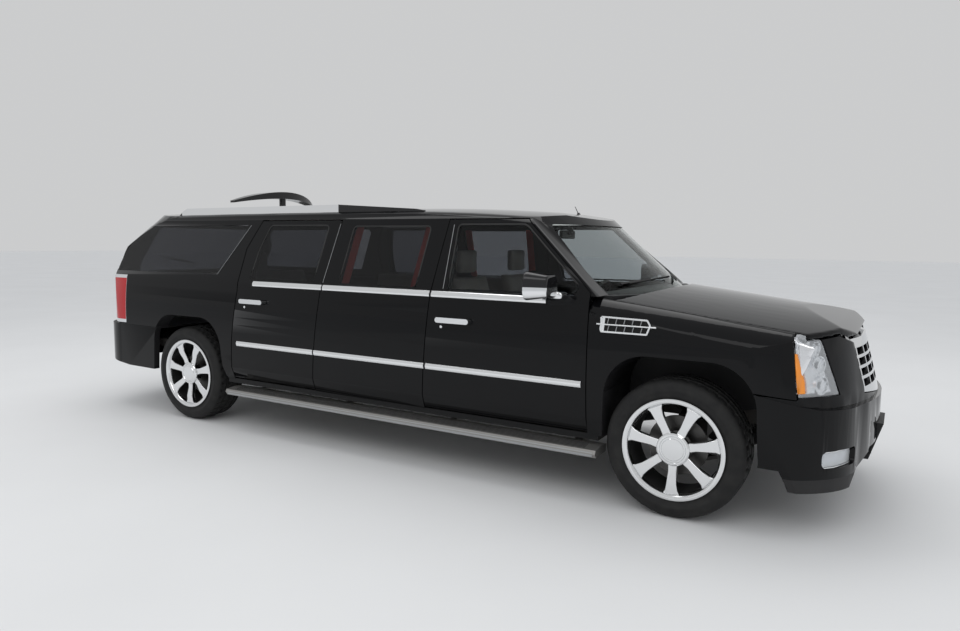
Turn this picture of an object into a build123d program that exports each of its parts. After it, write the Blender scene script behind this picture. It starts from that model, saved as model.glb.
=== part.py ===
from build123d import *
import math
import os

os.makedirs("parts", exist_ok=True)

# Driving dimensions, in millimetres. +X is forward, +Y is left, +Z is up, and the ground is at Z = 0.
base_wheelbase = 3302
stretch = 950
front_overhang = 1006
rear_overhang = 1354
bracket_depth = 24
roof_z = 1845
half_width = 1003

wheelbase = base_wheelbase + stretch
front_reach = front_overhang + bracket_depth
overall_length = front_reach + wheelbase + rear_overhang
front_axle_x = overall_length / 2 - front_reach
rear_axle_x = front_axle_x - wheelbase
nose_x = front_axle_x + front_overhang
tail_x = rear_axle_x - rear_overhang

# Heights and half widths along the cross-section of the body
sill_z = 375
sill_y = 925
under_z = 520
under_y = 985
wide_z = 800
belt_z = 1225
belt_y = 978
cant_z = 1720
cant_y = 800
rail_y = 720
rail_z = roof_z - 45
door_bottom_z = 432
door_top_z = 1731
roof_seam_z = 1740
sill_top_z = 415
cowl_z = 1262

# Thicknesses and gaps
door_wall = 128
frame_wall = 52
roof_wall = 42
door_gap = 6
rear_gap = 7
lid_gap = 7
glass_depth = 7
glass_thickness = 5
hood_wall = 30
bumper_wall = 45
pillar_depth = 22
door_frame = 30
plate_bolts_y = 177.8
plate_bolts_z = 120.65
plate_bolt_radius = 3.5

# Places along the body: front_* from the front axle, rear_* from the rear axle
front_door_front = front_axle_x - 530
front_door_rear_low = front_axle_x - 1748
front_door_rear_high = front_axle_x - 1644
rear_door_front_low = rear_axle_x + 1465
rear_door_front_high = rear_axle_x + 1627
tail_face_x = rear_axle_x - 1248
roof_end_x = rear_axle_x - 935
roof_peak_x = front_axle_x - 2300
windshield_base_x = front_axle_x - 531
windshield_base_z = 1300
windshield_bow = 221
windshield_rake = 1.139
tailgate_lean = 0.3
firewall_x = front_axle_x - 470

# Wheels
tyre_radius = 407.5
tyre_width = 285
track_half = 850
arch_top_z = 935
kingpin_y = track_half - 50
steer_clear_y = 497

# Hinges
door_tilt = 0.0704
door_pivot_y = 1013
door_pivot_z = 812
hood_half = 866
tailgate_half = 790


def seam_x(low_x, high_x, z):
    """X of a straight seam that runs from the door's bottom to its top."""
    share = (z - door_bottom_z) / (door_top_z - door_bottom_z)
    return low_x + (high_x - low_x) * share


def circle_through(a, b, c):
    """Centre and radius of the circle through three points of a section."""
    d = 2 * (a[0] * (b[1] - c[1]) + b[0] * (c[1] - a[1]) + c[0] * (a[1] - b[1]))
    sa = a[0] ** 2 + a[1] ** 2
    sb = b[0] ** 2 + b[1] ** 2
    sc = c[0] ** 2 + c[1] ** 2
    u = (sa * (b[1] - c[1]) + sb * (c[1] - a[1]) + sc * (a[1] - b[1])) / d
    v = (sa * (c[0] - b[0]) + sb * (a[0] - c[0]) + sc * (b[0] - a[0])) / d
    return u, v, math.hypot(a[0] - u, a[1] - v)


side_arc = circle_through((under_y, under_z), (half_width, wide_z), (belt_y, belt_z))


def skin_y(z):
    """Half width of the body's skin at height z."""
    if z > belt_z:
        return belt_y + (cant_y - belt_y) * (z - belt_z) / (cant_z - belt_z)
    if z < under_z:
        return sill_y + (under_y - sill_y) * (z - sill_z) / (under_z - sill_z)
    return side_arc[0] + math.sqrt(side_arc[2] ** 2 - (z - side_arc[1]) ** 2)


def both_sides(right):
    """The right-hand piece with its mirror image on the left."""
    with BuildPart() as pair:
        add(right)
        mirror(right, about=Plane.XZ)
    return pair.part


def finish(piece, label):
    """Label a finished piece and write it as its own file."""
    piece.label = label
    export_step(piece, f"parts/{label}.step")


def side_prism(points, fillets=0, near=0, far=1200):
    """Prism across the right half of the body, from an outline of (x, z) points."""
    with BuildPart() as prism:
        with BuildSketch(Plane.XZ.offset(near)) as outline:
            with BuildLine():
                Polyline(*points, close=True)
            make_face()
            if fillets:
                fillet(outline.vertices(), fillets)
        extrude(amount=far - near)
    return prism.part


def block(x0, x1, y0, y1, z0, z1):
    """Plain box between two corners, for cutting."""
    body = Box(x1 - x0, y1 - y0, z1 - z0, mode=Mode.PRIVATE)
    return Pos((x0 + x1) / 2, (y0 + y1) / 2, (z0 + z1) / 2) * body


# Body form: the closed outer shape that the panels are cut from
def section_prism(wall_low, wall_high, x0, x1, bottom_z):
    """The body's cross-section without its roof, moved in by a wall below and above the belt."""
    top_z = roof_z + 60
    slope = (belt_y - cant_y) / (cant_z - belt_z)
    top_y = belt_y - slope * (top_z - belt_z) - wall_high
    with BuildPart() as prism:
        with BuildSketch(Plane.YZ.offset(x0)):
            with BuildLine():
                for side in (-1, 1):
                    if wall_low:
                        Polyline(
                            (0, bottom_z),
                            (side * (half_width - wall_low), bottom_z),
                            (side * (half_width - wall_low), belt_z - 25),
                            (side * (belt_y - wall_high), belt_z - 10),
                            (side * top_y, top_z),
                            (0, top_z),
                        )
                    else:
                        Polyline((0, bottom_z), (side * sill_y, bottom_z), (side * under_y, under_z))
                        ThreePointArc(
                            (side * under_y, under_z), (side * half_width, wide_z), (side * belt_y, belt_z)
                        )
                        Polyline((side * belt_y, belt_z), (side * top_y, top_z), (0, top_z))
            make_face()
        extrude(amount=x1 - x0)
    return prism.part


def roof_dome(drop):
    """All that lies under the crowned roof, lowered by drop. It falls away to front and rear."""
    front_arc = 16000
    rear_arc = 300000
    with BuildPart() as dome:
        for arc, reach in ((front_arc, -1), (rear_arc, 1)):
            with BuildSketch(Plane.YZ.offset(roof_peak_x)) as crown:
                with BuildLine():
                    ThreePointArc(
                        (-rail_y, rail_z - drop), (0, roof_z - drop), (rail_y, rail_z - drop)
                    )
                    for side in (-1, 1):
                        ThreePointArc(
                            (side * rail_y, rail_z - drop),
                            (side * (rail_y + 68), rail_z - 27 - drop),
                            (side * (rail_y + 112), rail_z - 100 - drop),
                        )
                        Polyline(
                            (side * (rail_y + 112), rail_z - 100 - drop),
                            (side * 1150, rail_z - 230 - drop),
                            (side * 1150, 150),
                            (0, 150),
                        )
                make_face()
            hub = Axis((roof_peak_x, 0, roof_z - arc), (0, reach, 0))
            span = 3400 if reach > 0 else 2600
            turn = math.degrees(span / arc)
            revolve(crown.sketch, axis=hub, revolution_arc=-turn)
    return dome.part


def windshield_prism(setback):
    """All that lies behind the bowed and raked windshield, moved back by setback."""
    base = windshield_base_x - setback
    with BuildPart() as prism:
        with BuildSketch(Plane.XY.offset(windshield_base_z)) as plan:
            with BuildLine():
                ThreePointArc((base, -750), (base + windshield_bow, 0), (base, 750))
                for side in (-1, 1):
                    Polyline(
                        (base, side * 750),
                        (base + 4, side * 930),
                        (base - 30, side * 1180),
                        (base - 6000, side * 1180),
                        (base - 6000, 0),
                    )
            make_face()
        extrude(plan.sketch, amount=1200, dir=(-windshield_rake, 0, 1))
        extrude(plan.sketch, amount=200, dir=(windshield_rake, 0, -1))
    return prism.part


tail_sections = [
    (200, 0, 0, 0),
    (belt_z, 0, 0, 0),
    (1500, 146, 30, 10),
    (1900, 358, 330, 300),
]


def tail_outline(setback, section):
    """Plan of the tail at one height: a bowed face with rounded corners, open far ahead."""
    z, forward, narrower, rounder = section
    face = tail_face_x + setback + forward
    half = 780 - narrower
    turn = face + 160 + rounder / 2
    end = face + 420 + rounder
    with BuildSketch(Plane.XY.offset(z)) as plan:
        with BuildLine():
            ThreePointArc((face + 60, -half), (face, 0), (face + 60, half))
            for side in (-1, 1):
                ThreePointArc((face + 60, side * half), (turn, side * (half + 152)),
                              (end, side * (half + 230)))
                Polyline(
                    (end, side * (half + 230)),
                    (end + 280, side * 1200),
                    (tail_x + 7000, side * 1200),
                    (tail_x + 7000, 0),
                )
        make_face()
    return plan.sketch


def tail_prism(setback):
    """All that lies ahead of the tail: upright below the belt, raked and narrowing above it."""
    with BuildPart() as prism:
        loft([tail_outline(setback, section) for section in tail_sections], ruled=True)
    return prism.part


def beside_tailgate(gap):
    """All that lies to the right of the tailgate's edge, which leans in above the belt."""
    edge = tailgate_half + gap
    lean_top = roof_z - 80
    with BuildPart() as prism:
        with BuildSketch(Plane.YZ.offset(tail_x - 100)):
            with BuildLine():
                Polyline(
                    (-edge, 200),
                    (-edge, belt_z),
                    (-edge + tailgate_lean * (lean_top - belt_z), lean_top),
                    (-1250, lean_top),
                    (-1250, 200),
                    close=True,
                )
            make_face()
        extrude(amount=2600)
    return prism.part


def cabin_form(wall_low, wall_high, drop, setback, bottom_z):
    """The body behind the cowl: its outer form with no walls, or its inner space with walls."""
    with BuildPart() as front_limit:
        add(block(tail_x, front_axle_x - 100, -1150, 1150, 100, cowl_z))
        add(windshield_prism(setback[0]))
    with BuildPart() as form:
        add(section_prism(wall_low, wall_high, tail_x, front_axle_x - 200, bottom_z))
        add(roof_dome(drop), mode=Mode.INTERSECT)
        add(tail_prism(setback[1]), mode=Mode.INTERSECT)
        add(front_limit.part, mode=Mode.INTERSECT)
    return form.part


floor_top_z = 660
outer_form = cabin_form(0, 0, 0, (0, 0), sill_z)
inner_form = cabin_form(door_wall, frame_wall, roof_wall, (62, 75), sill_z - 75)
with BuildPart() as walls_build:
    add(outer_form)
    add(inner_form, mode=Mode.SUBTRACT)
walls = walls_build.part


def glass_layer(depth):
    """Thin layer of the side skin between two depths, for side glass."""
    with BuildPart() as inside:
        add(section_prism(0, depth + glass_thickness, tail_x, front_axle_x, belt_z - 60))
        add(tail_prism(depth + glass_thickness), mode=Mode.INTERSECT)
    with BuildPart() as layer:
        add(section_prism(0, depth, tail_x, front_axle_x, belt_z - 60))
        add(tail_prism(depth), mode=Mode.INTERSECT)
        add(inside.part, mode=Mode.SUBTRACT)
    return layer.part


# Door hinges and the space that a door sweeps
class Hinge:
    """A door's hinge line on the right-hand side, leaning with the seam ahead of the door."""

    def __init__(self, low_x, high_x):
        lean = (high_x - low_x) / (door_top_z - door_bottom_z)
        self.x = seam_x(low_x, high_x, door_pivot_z)
        self.origin = Vector(self.x, -door_pivot_y, door_pivot_z)
        self.up = Vector(lean, door_tilt, 1).normalized()
        back = Vector(-1, 0, 0)
        self.back = (back - self.up * back.dot(self.up)).normalized()

    def reach(self, x, z):
        """Height along the hinge line and distance from it, of a point on the skin."""
        arm = Vector(x, -skin_y(z), z) - self.origin
        along = arm.dot(self.up)
        return (arm - self.up * along).length, along

    def sweep(self, seam, gap):
        """Solid of revolution about the hinge line that reaches to the seam behind the door."""
        points = [self.reach(x, z) for x, z in seam]
        plane = Plane(self.origin, x_dir=self.back, z_dir=self.back.cross(self.up))
        with BuildPart() as swept:
            with BuildSketch(plane) as profile:
                with BuildLine():
                    Polyline(
                        (0.5, points[0][1] - 80),
                        (points[0][0] + gap, points[0][1] - 80),
                        *[(r + gap, s) for r, s in points],
                        (points[-1][0] + gap, points[-1][1] + 80),
                        (0.5, points[-1][1] + 80),
                        close=True,
                    )
                make_face()
            revolve(profile.sketch, axis=Axis(self.origin, self.up))
        return swept.part


front_hinge = Hinge(front_door_front, front_door_front)
rear_hinge = Hinge(rear_door_front_low, rear_door_front_high)

front_seam = [
    (seam_x(front_door_rear_low, front_door_rear_high, z), z) for z in (door_bottom_z, 800, 1225, 1750)
]
rear_seam = [
    (rear_axle_x + 560, 432),
    (rear_axle_x + 592, 757),
    (rear_axle_x + 655, 1156),
    (rear_axle_x + 660, 1505),
    (rear_axle_x + 778, 1750),
]

def pillar_x(z):
    """X of the raked seam between a front pillar and the door behind it."""
    return windshield_base_x - pillar_depth - windshield_rake * (z - windshield_base_z)


# Windows, as outlines seen from the side
front_window = [
    (front_axle_x - 1561, 1240),
    (front_axle_x - 1574, 1705),
    (pillar_x(1705) - door_frame, 1705),
    (pillar_x(1322) - door_frame, 1322),
    (pillar_x(1322) - door_frame - 20, 1262),
]
stretch_window = [
    (front_axle_x - 2532, 1250),
    (front_axle_x - 2502, 1692),
    (front_axle_x - 1786, 1692),
    (front_axle_x - 1818, 1250),
]
rear_window = [
    (rear_axle_x + 772, 1250),
    (rear_axle_x + 800, 1500),
    (rear_axle_x + 868, 1700),
    (rear_axle_x + 1512, 1700),
    (rear_axle_x + 1478, 1250),
]
quarter_window = [
    (rear_axle_x - 1085, 1282),
    (rear_axle_x - 820, 1690),
    (rear_axle_x + 640, 1700),
    (rear_axle_x + 375, 1282),
]


with BuildPart() as door_top_bevel:
    with BuildSketch(Plane.YZ.offset(rear_axle_x)):
        with BuildLine():
            Polyline((-cant_y, door_top_z + 1), (-cant_y + 110, door_top_z - 38),
                     (-cant_y + 110, door_top_z + 40), (-cant_y, door_top_z + 40), close=True)
        make_face()
    extrude(amount=wheelbase)


def door(hinge, seam, outline, window, corner, trim):
    """One door with its upper inner edge trimmed, and its glass."""
    region = side_prism(outline, near=500)
    core = section_prism(door_wall, frame_wall + 8, tail_x, nose_x, 300)
    with BuildPart() as panel:
        add(walls)
        add(region, mode=Mode.INTERSECT)
        add(core, mode=Mode.SUBTRACT)
        for cut in trim:
            add(cut, mode=Mode.SUBTRACT)
        add(hinge.sweep(seam, 0), mode=Mode.INTERSECT)
        add(side_prism(window, fillets=corner, near=500), mode=Mode.SUBTRACT)
    with BuildPart() as pane:
        add(glass_layer(glass_depth))
        add(side_prism(window, fillets=corner, near=500), mode=Mode.INTERSECT)
    return panel.part, pane.part


pillar_gap = front_door_front - door_gap / 2 - pillar_x(windshield_base_z)
pillar_foot_z = windshield_base_z - pillar_gap / windshield_rake
front_outline = [
    (front_door_front - door_gap / 2, door_bottom_z),
    (front_door_front - door_gap / 2, pillar_foot_z),
    (pillar_x(door_top_z), door_top_z),
    (front_door_rear_high - 200, door_top_z),
    (front_door_rear_low - 200, door_bottom_z),
]
rear_outline = [
    (rear_door_front_low - door_gap / 2, door_bottom_z),
    (rear_door_front_high - door_gap / 2, door_top_z),
    (rear_axle_x + 400, door_top_z),
    (rear_axle_x + 400, door_bottom_z),
]
front_door, front_pane = door(front_hinge, front_seam, front_outline, front_window, 34, [])
rear_door, rear_pane = door(rear_hinge, rear_seam, rear_outline, rear_window, 40, [door_top_bevel.part])


def handle(x, z):
    """Pull handle that stands off the skin on two feet, with a lock below its rear end."""
    y = skin_y(z)
    with BuildPart() as grip:
        with BuildSketch(Plane.XZ.offset(y + 22)):
            with Locations((x, z)):
                SlotOverall(262, 36)
        extrude(amount=18)
        with BuildSketch(Plane.XZ.offset(y - 4)):
            with Locations((x - 105, z), (x + 105, z)):
                SlotOverall(44, 26)
        extrude(amount=30)
        add(outer_form, mode=Mode.SUBTRACT)
    return grip.part


handle_front = handle(front_axle_x - 1480, 1057)
handle_rear = handle(rear_axle_x + 852, 1083)

# Door mirror: an arm, a deep rounded head and a glass recess that looks rearward
mirror_x = front_axle_x - 790
mirror_depth = 150
with BuildPart() as mirror_build:
    with BuildSketch(Plane.XZ.offset(965)):
        with Locations((mirror_x + 62, 1262)):
            RectangleRounded(104, 42, 18)
    extrude(amount=90)
    with BuildSketch(Plane.YZ.offset(mirror_x - mirror_depth / 2)):
        with Locations((-1112, 1322)):
            RectangleRounded(212, 178, 58)
    extrude(amount=mirror_depth, taper=9)
    with BuildSketch(Plane.YZ.offset(mirror_x - mirror_depth / 2)):
        with Locations((-1112, 1322)):
            RectangleRounded(188, 154, 48)
    extrude(amount=12, mode=Mode.SUBTRACT)
    add(outer_form, mode=Mode.SUBTRACT)
mirror_right = mirror_build.part

# Stretch panels between the doors, with the body's middle window
stretch_region = [
    (seam_x(rear_door_front_low, rear_door_front_high, sill_top_z) + door_gap / 2, sill_top_z),
    (seam_x(rear_door_front_low, rear_door_front_high, roof_seam_z) + door_gap / 2, roof_seam_z),
    (front_door_rear_high + 120, roof_seam_z),
    (front_door_rear_low + 120, sill_top_z),
]
with BuildPart() as stretch_build:
    add(walls)
    add(side_prism(stretch_region, near=500), mode=Mode.INTERSECT)
    add(front_hinge.sweep(front_seam, rear_gap), mode=Mode.SUBTRACT)
    add(side_prism(stretch_window, fillets=36, near=500), mode=Mode.SUBTRACT)
stretch_right = stretch_build.part

with BuildPart() as stretch_pane_build:
    add(glass_layer(glass_depth))
    add(side_prism(stretch_window, fillets=36, near=500), mode=Mode.INTERSECT)
stretch_pane = stretch_pane_build.part


# Wheel arches
def arch(axle_x, back, ahead, top_z, near, far):
    """Flat-topped wheel arch cut, from the side, running from near to far across the right half."""
    with BuildPart() as cut:
        with BuildSketch(Plane.XZ.offset(near)) as outline:
            with BuildLine():
                Polyline(
                    (axle_x - back - 45, 150),
                    (axle_x - back, top_z),
                    (axle_x + ahead, top_z),
                    (axle_x + ahead + 35, 150),
                    close=True,
                )
            make_face()
            fillet(outline.vertices().group_by(Axis.Z)[-1], 255)
        extrude(amount=far - near)
    return cut.part


rear_arch = arch(rear_axle_x, 425, 432, 914, 560, 1200)
front_arch = arch(front_axle_x, 405, 435, arch_top_z, steer_clear_y, 1200)

# Quarter panels behind the rear doors, with the rear pillars
lamp_top_z = 1245
lamp_bottom_z = 803
quarter_region = [
    (tail_x - 50, 790),
    (tail_x - 50, roof_seam_z),
    (rear_axle_x + 950, roof_seam_z),
    (rear_axle_x + 950, sill_top_z),
    (rear_axle_x + 380, sill_top_z),
    (rear_axle_x - 300, sill_top_z),
    (rear_axle_x - 300, 790),
]


def tail_lamp_cut(grow):
    """Column that a tail lamp fills at the rear corner."""
    return block(
        tail_x - 20, rear_axle_x - 840 + grow, -1150, -tailgate_half - lid_gap + grow,
        lamp_bottom_z - grow, lamp_top_z + grow,
    )


with BuildPart() as quarter_build:
    add(walls)
    add(side_prism(quarter_region, near=560), mode=Mode.INTERSECT)
    add(beside_tailgate(lid_gap), mode=Mode.INTERSECT)
    add(rear_hinge.sweep(rear_seam, rear_gap), mode=Mode.SUBTRACT)
    add(rear_arch, mode=Mode.SUBTRACT)
    add(side_prism(quarter_window, fillets=30, near=560), mode=Mode.SUBTRACT)
    add(tail_lamp_cut(2), mode=Mode.SUBTRACT)
quarter_right = quarter_build.part

with BuildPart() as quarter_pane_build:
    add(glass_layer(glass_depth))
    add(side_prism(quarter_window, fillets=30, near=560), mode=Mode.INTERSECT)
quarter_pane = quarter_pane_build.part

with BuildPart() as tail_lamp_build:
    add(walls)
    add(tail_lamp_cut(0), mode=Mode.INTERSECT)
tail_lamp = tail_lamp_build.part

# Roof with its header, front pillars and rear header
pillar_gap = 9
pillar_region = [
    (front_door_front + door_gap / 2, cowl_z),
    (front_door_front + door_gap / 2, pillar_foot_z),
    (pillar_x(roof_seam_z) + pillar_gap, roof_seam_z),
    (front_axle_x + 200, roof_seam_z),
    (front_axle_x + 200, cowl_z),
]
with BuildPart() as pillar_core:
    add(section_prism(door_wall, frame_wall + 8 + door_gap, front_axle_x - 1250, front_axle_x, 300))
    add(block(front_axle_x - 1250, front_axle_x, -1100, 1100, cowl_z, roof_seam_z + 5),
        mode=Mode.INTERSECT)
with BuildPart() as roof_region:
    add(block(roof_end_x - 60, front_axle_x, -1100, 1100, roof_seam_z, 1950))
    add(side_prism(pillar_region, near=0))
    mirror(side_prism(pillar_region, near=0), about=Plane.XZ)
    add(pillar_core.part)
with BuildPart() as roof_build:
    add(walls)
    add(roof_region.part, mode=Mode.INTERSECT)
    with BuildSketch(Plane.XZ.offset(-600)):
        with BuildLine():
            Polyline((front_axle_x - 1250, 1813), (front_axle_x - 1044, 1792), (front_axle_x - 780, 1738),
                     (front_axle_x - 780, 1900), (front_axle_x - 1250, 1900), close=True)
        make_face()
    extrude(amount=1200, mode=Mode.SUBTRACT)
roof_shell = roof_build.part

# Windshield: a bowed sheet inside the pillars and header
glass_high_z = 1702
glass_low_y = 790
glass_high_y = 672
with BuildPart() as windshield_cut:
    with BuildSketch(Plane.YZ.offset(front_axle_x - 1500)) as opening:
        with BuildLine():
            Polyline(
                (-glass_low_y, cowl_z),
                (-glass_high_y, glass_high_z),
                (glass_high_y, glass_high_z),
                (glass_low_y, cowl_z),
                close=True,
            )
        make_face()
        fillet(opening.vertices().group_by(Axis.Z)[-1], 40)
    extrude(amount=1500)
with BuildPart() as windshield:
    add(windshield_prism(glass_depth))
    add(windshield_prism(glass_depth + glass_thickness + 3), mode=Mode.SUBTRACT)
    add(windshield_cut.part, mode=Mode.INTERSECT)
with BuildPart() as roof_panel:
    add(roof_shell)
    add(windshield_cut.part, mode=Mode.SUBTRACT)
finish(roof_panel.part, "roof_panel")
finish(windshield.part, "windshield")

# Tailgate and its glass
tailgate_bottom_z = 800
tailgate_top_z = door_top_z + 3
rear_plate_z = 985
plate_recess = 30
with BuildPart() as tailgate_window:
    with BuildSketch(Plane.YZ.offset(tail_x - 100)) as opening:
        with BuildLine():
            Polyline((-700, 1262), (-580, 1690), (580, 1690), (700, 1262), close=True)
        make_face()
        fillet(opening.vertices(), 60)
    extrude(amount=900)
with BuildPart() as tailgate:
    add(walls)
    add(block(tail_x, roof_end_x + 250, -tailgate_half, tailgate_half, tailgate_bottom_z, tailgate_top_z),
        mode=Mode.INTERSECT)
    add(beside_tailgate(0), mode=Mode.SUBTRACT)
    mirror(beside_tailgate(0), about=Plane.XZ, mode=Mode.SUBTRACT)
    add(tailgate_window.part, mode=Mode.SUBTRACT)
    add(block(tail_x, tail_face_x + plate_recess, -165, 165, rear_plate_z - 85, rear_plate_z + 85),
        mode=Mode.SUBTRACT)
    with BuildSketch(Plane.YZ.offset(tail_face_x + plate_recess)):
        with Locations((0, rear_plate_z)):
            with GridLocations(plate_bolts_y, plate_bolts_z, 2, 2):
                Circle(plate_bolt_radius)
    extrude(amount=30, mode=Mode.SUBTRACT)
with BuildPart() as tailgate_glass:
    add(tail_prism(glass_depth))
    add(tail_prism(glass_depth + glass_thickness), mode=Mode.SUBTRACT)
    add(tailgate_window.part, mode=Mode.INTERSECT)
finish(tailgate.part, "tailgate")
finish(tailgate_glass.part, "tailgate_glass")


# Front clip: fenders, hood, lamps, grille and bumper
def nose_outline(reach):
    """Plan of the nose, from the fender's side round to the middle, moved forward by reach."""
    x = front_axle_x + reach
    with BuildSketch(Plane.XY) as plan:
        with BuildLine():
            ThreePointArc((x + 905, -480), (x + 985, 0), (x + 905, 480))
            for side in (-1, 1):
                ThreePointArc((x + 905, side * 480), (x + 800, side * 735), (x + 625, side * 950))
                ThreePointArc((x + 625, side * 950), (x + 490, side * 988), (x + 330, side * 1012))
                Polyline((x + 330, side * 1012), (x - 1200, side * 1012), (x - 1200, 0))
        make_face()
    return plan.sketch


def hood_prism(drop):
    """All that lies under the crowned and falling hood, lowered by drop."""
    slope = 0.122
    back = front_axle_x - 700
    rise = (back - (front_axle_x - 430)) * slope
    with BuildPart() as prism:
        with BuildSketch(Plane.YZ.offset(back)) as crown:
            with BuildLine():
                z = 1243 - rise - drop
                ThreePointArc((-868, z), (0, z + 82), (868, z))
                for side in (-1, 1):
                    ThreePointArc(
                        (side * 868, z), (side * 965, z - 62), (side * 1012, z - 185)
                    )
                    Polyline((side * 1012, z - 185), (side * 1150, z - 400), (side * 1150, 0), (0, 0))
            make_face()
        extrude(amount=1900, dir=(1, 0, -slope))
    return prism.part


def nose_profile(drop):
    """Side profile of the nose along the middle, with its upper edge lowered by drop."""
    back = front_axle_x - 900
    hip = (front_axle_x + 250, 1264 - drop)
    brow = (front_axle_x + 770, 1143 - drop)
    lip = (front_axle_x + 905 - drop / 4, 1050 - drop)
    foot_x = front_axle_x + 1000
    with BuildPart() as prism:
        with BuildSketch(Plane.XZ.offset(-1100)):
            with BuildLine():
                Polyline(hip, (back, 1520 - drop), (back, 200), (foot_x, 200), (foot_x, 690), lip)
                ThreePointArc(lip, (front_axle_x + 862 - drop / 2, 1094 - drop), brow)
                ThreePointArc(brow, (front_axle_x + 540, 1208 - drop), hip)
            make_face()
        extrude(amount=2200)
    return prism.part


def front_form():
    """Outer form of the front clip."""
    with BuildPart() as plan:
        extrude(Pos(0, 0, 775) * nose_outline(0), amount=800, dir=(-0.1376, 0, 1))
        extrude(Pos(0, 0, 200) * nose_outline(0), amount=575)
    with BuildPart() as form:
        add(section_prism(0, 0, front_door_front - 100, nose_x, 250))
        add(hood_prism(0), mode=Mode.INTERSECT)
        add(plan.part, mode=Mode.INTERSECT)
        add(nose_profile(0), mode=Mode.INTERSECT)
    return form.part


clip_form = front_form()
hood_nose_z = 1080


def hood_space(drop):
    """All that lies under the hood's skin, lowered by drop."""
    with BuildPart() as space:
        add(hood_prism(drop))
        add(nose_profile(drop), mode=Mode.INTERSECT)
    return space.part


under_hood = hood_space(hood_wall)
below_hood = hood_space(hood_wall + lid_gap)

# Hood
hood_back_x = front_axle_x - 418
with BuildPart() as hood_region:
    with BuildSketch(Plane.XY.offset(1000)) as plan:
        with BuildLine():
            ThreePointArc((hood_back_x, -hood_half), (hood_back_x + 190, 0), (hood_back_x, hood_half))
            Polyline(
                (hood_back_x, hood_half),
                (nose_x + 50, hood_half),
                (nose_x + 50, -hood_half),
                (hood_back_x, -hood_half),
            )
        make_face()
    extrude(amount=500)
with BuildPart() as hood:
    add(clip_form)
    add(hood_region.part, mode=Mode.INTERSECT)
    add(under_hood, mode=Mode.SUBTRACT)
    add(block(front_axle_x + 600, nose_x + 50, -1100, 1100, 900, hood_nose_z), mode=Mode.SUBTRACT)
finish(hood.part, "hood")

# Fenders with wheel liners
fender_front = [
    (front_door_front + door_gap / 2, sill_top_z),
    (front_door_front + door_gap / 2, 1400),
    (front_axle_x + 582, 1400),
    (front_axle_x + 600, 1085),
    (front_axle_x + 632, 768),
    (front_axle_x + 420, 790),
    (front_axle_x + 380, 600),
    (front_axle_x - 380, sill_top_z),
]
with BuildPart() as hood_cut:
    add(block(front_door_front - 200, nose_x, -hood_half - lid_gap, 0, 900, 1500))
    add(below_hood, mode=Mode.SUBTRACT)
with BuildPart() as fender_build:
    add(clip_form)
    add(side_prism(fender_front, near=470), mode=Mode.INTERSECT)
    add(hood_cut.part, mode=Mode.SUBTRACT)
    add(front_arch, mode=Mode.SUBTRACT)
    add(block(firewall_x + 2, front_axle_x + 600, -620, 0, 975, 1500), mode=Mode.SUBTRACT)
    add(block(firewall_x + 2, front_axle_x + 540, -800, 0, 1110, 1500), mode=Mode.SUBTRACT)
    add(block(front_door_front - 50, firewall_x + 2, -868, 0, 300, 1500), mode=Mode.SUBTRACT)
    add(block(firewall_x, front_axle_x - 395, -868, 0, 1190, 1500), mode=Mode.SUBTRACT)
    add(block(front_axle_x - 210, front_axle_x + 210, -600, 0, 300, 640), mode=Mode.SUBTRACT)
fender_right = fender_build.part

# Front lamps: headlamps at the corners and fog lamps in the bumper
lamp_low_z = 776
lamp_high_z = 1110
lamp_region = [
    (front_axle_x + 586, 1400),
    (front_axle_x + 604, 1085),
    (front_axle_x + 636, lamp_low_z),
    (front_axle_x + 1000, lamp_low_z),
    (front_axle_x + 1000, 1400),
]
lamp_inner_low = 700
lamp_inner_high = 800
lamp_gap = 4


def outboard(gap):
    """All that lies to the right of a headlamp's leaning inner edge."""
    with BuildPart() as prism:
        with BuildSketch(Plane.YZ.offset(front_axle_x + 300)):
            with BuildLine():
                Polyline(
                    (-lamp_inner_low + gap, lamp_low_z),
                    (-lamp_inner_high + gap, lamp_high_z),
                    (-lamp_inner_high + gap, 1450),
                    (-1250, 1450),
                    (-1250, lamp_low_z),
                    close=True,
                )
            make_face()
        extrude(amount=900)
    return prism.part


with BuildPart() as headlamp_build:
    add(clip_form)
    add(side_prism(lamp_region, near=560), mode=Mode.INTERSECT)
    add(outboard(0), mode=Mode.INTERSECT)
    add(hood_cut.part, mode=Mode.SUBTRACT)
    add(block(front_axle_x, front_axle_x + 640, -760, 0, 700, 1200), mode=Mode.SUBTRACT)
headlamp = headlamp_build.part

# Front bumper, with the bracket for a front plate
bumper_top_z = 784
shelf_z = 700
plate_z = 426
with BuildPart() as bumper_form:
    with BuildSketch(Plane.XY.offset(258)) as plan:
        x = front_axle_x
        with BuildLine():
            ThreePointArc((x + 915, -560), (x + 1004, 0), (x + 915, 560))
            for side in (-1, 1):
                ThreePointArc((x + 915, side * 560), (x + 800, side * 820), (x + 640, side * 945))
                ThreePointArc((x + 640, side * 945), (x + 520, side * 985), (x + 400, side * 1003))
                Polyline((x + 400, side * 1003), (x + 300, side * 1003), (x + 300, 0))
        make_face()
    extrude(amount=bumper_top_z + 20 - 258)
    with BuildSketch(Plane.XZ.offset(-1100)):
        with BuildLine():
            Polyline(
                (x + 300, 792),
                (x + 420, bumper_top_z),
                (x + 744, shelf_z + 14),
                (x + 1003, shelf_z),
                (x + 1006, 640),
                (x + 1006, 450),
                (x + 915, 350),
                (x + 890, 262),
                (x + 620, 262),
                (x + 460, 282),
                (x + 300, 282),
                close=True,
            )
        make_face()
    extrude(amount=2200, mode=Mode.INTERSECT)
    add(section_prism(0, 0, front_axle_x, nose_x + 10, 200), mode=Mode.INTERSECT)
bumper_outer = bumper_form.part
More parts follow.
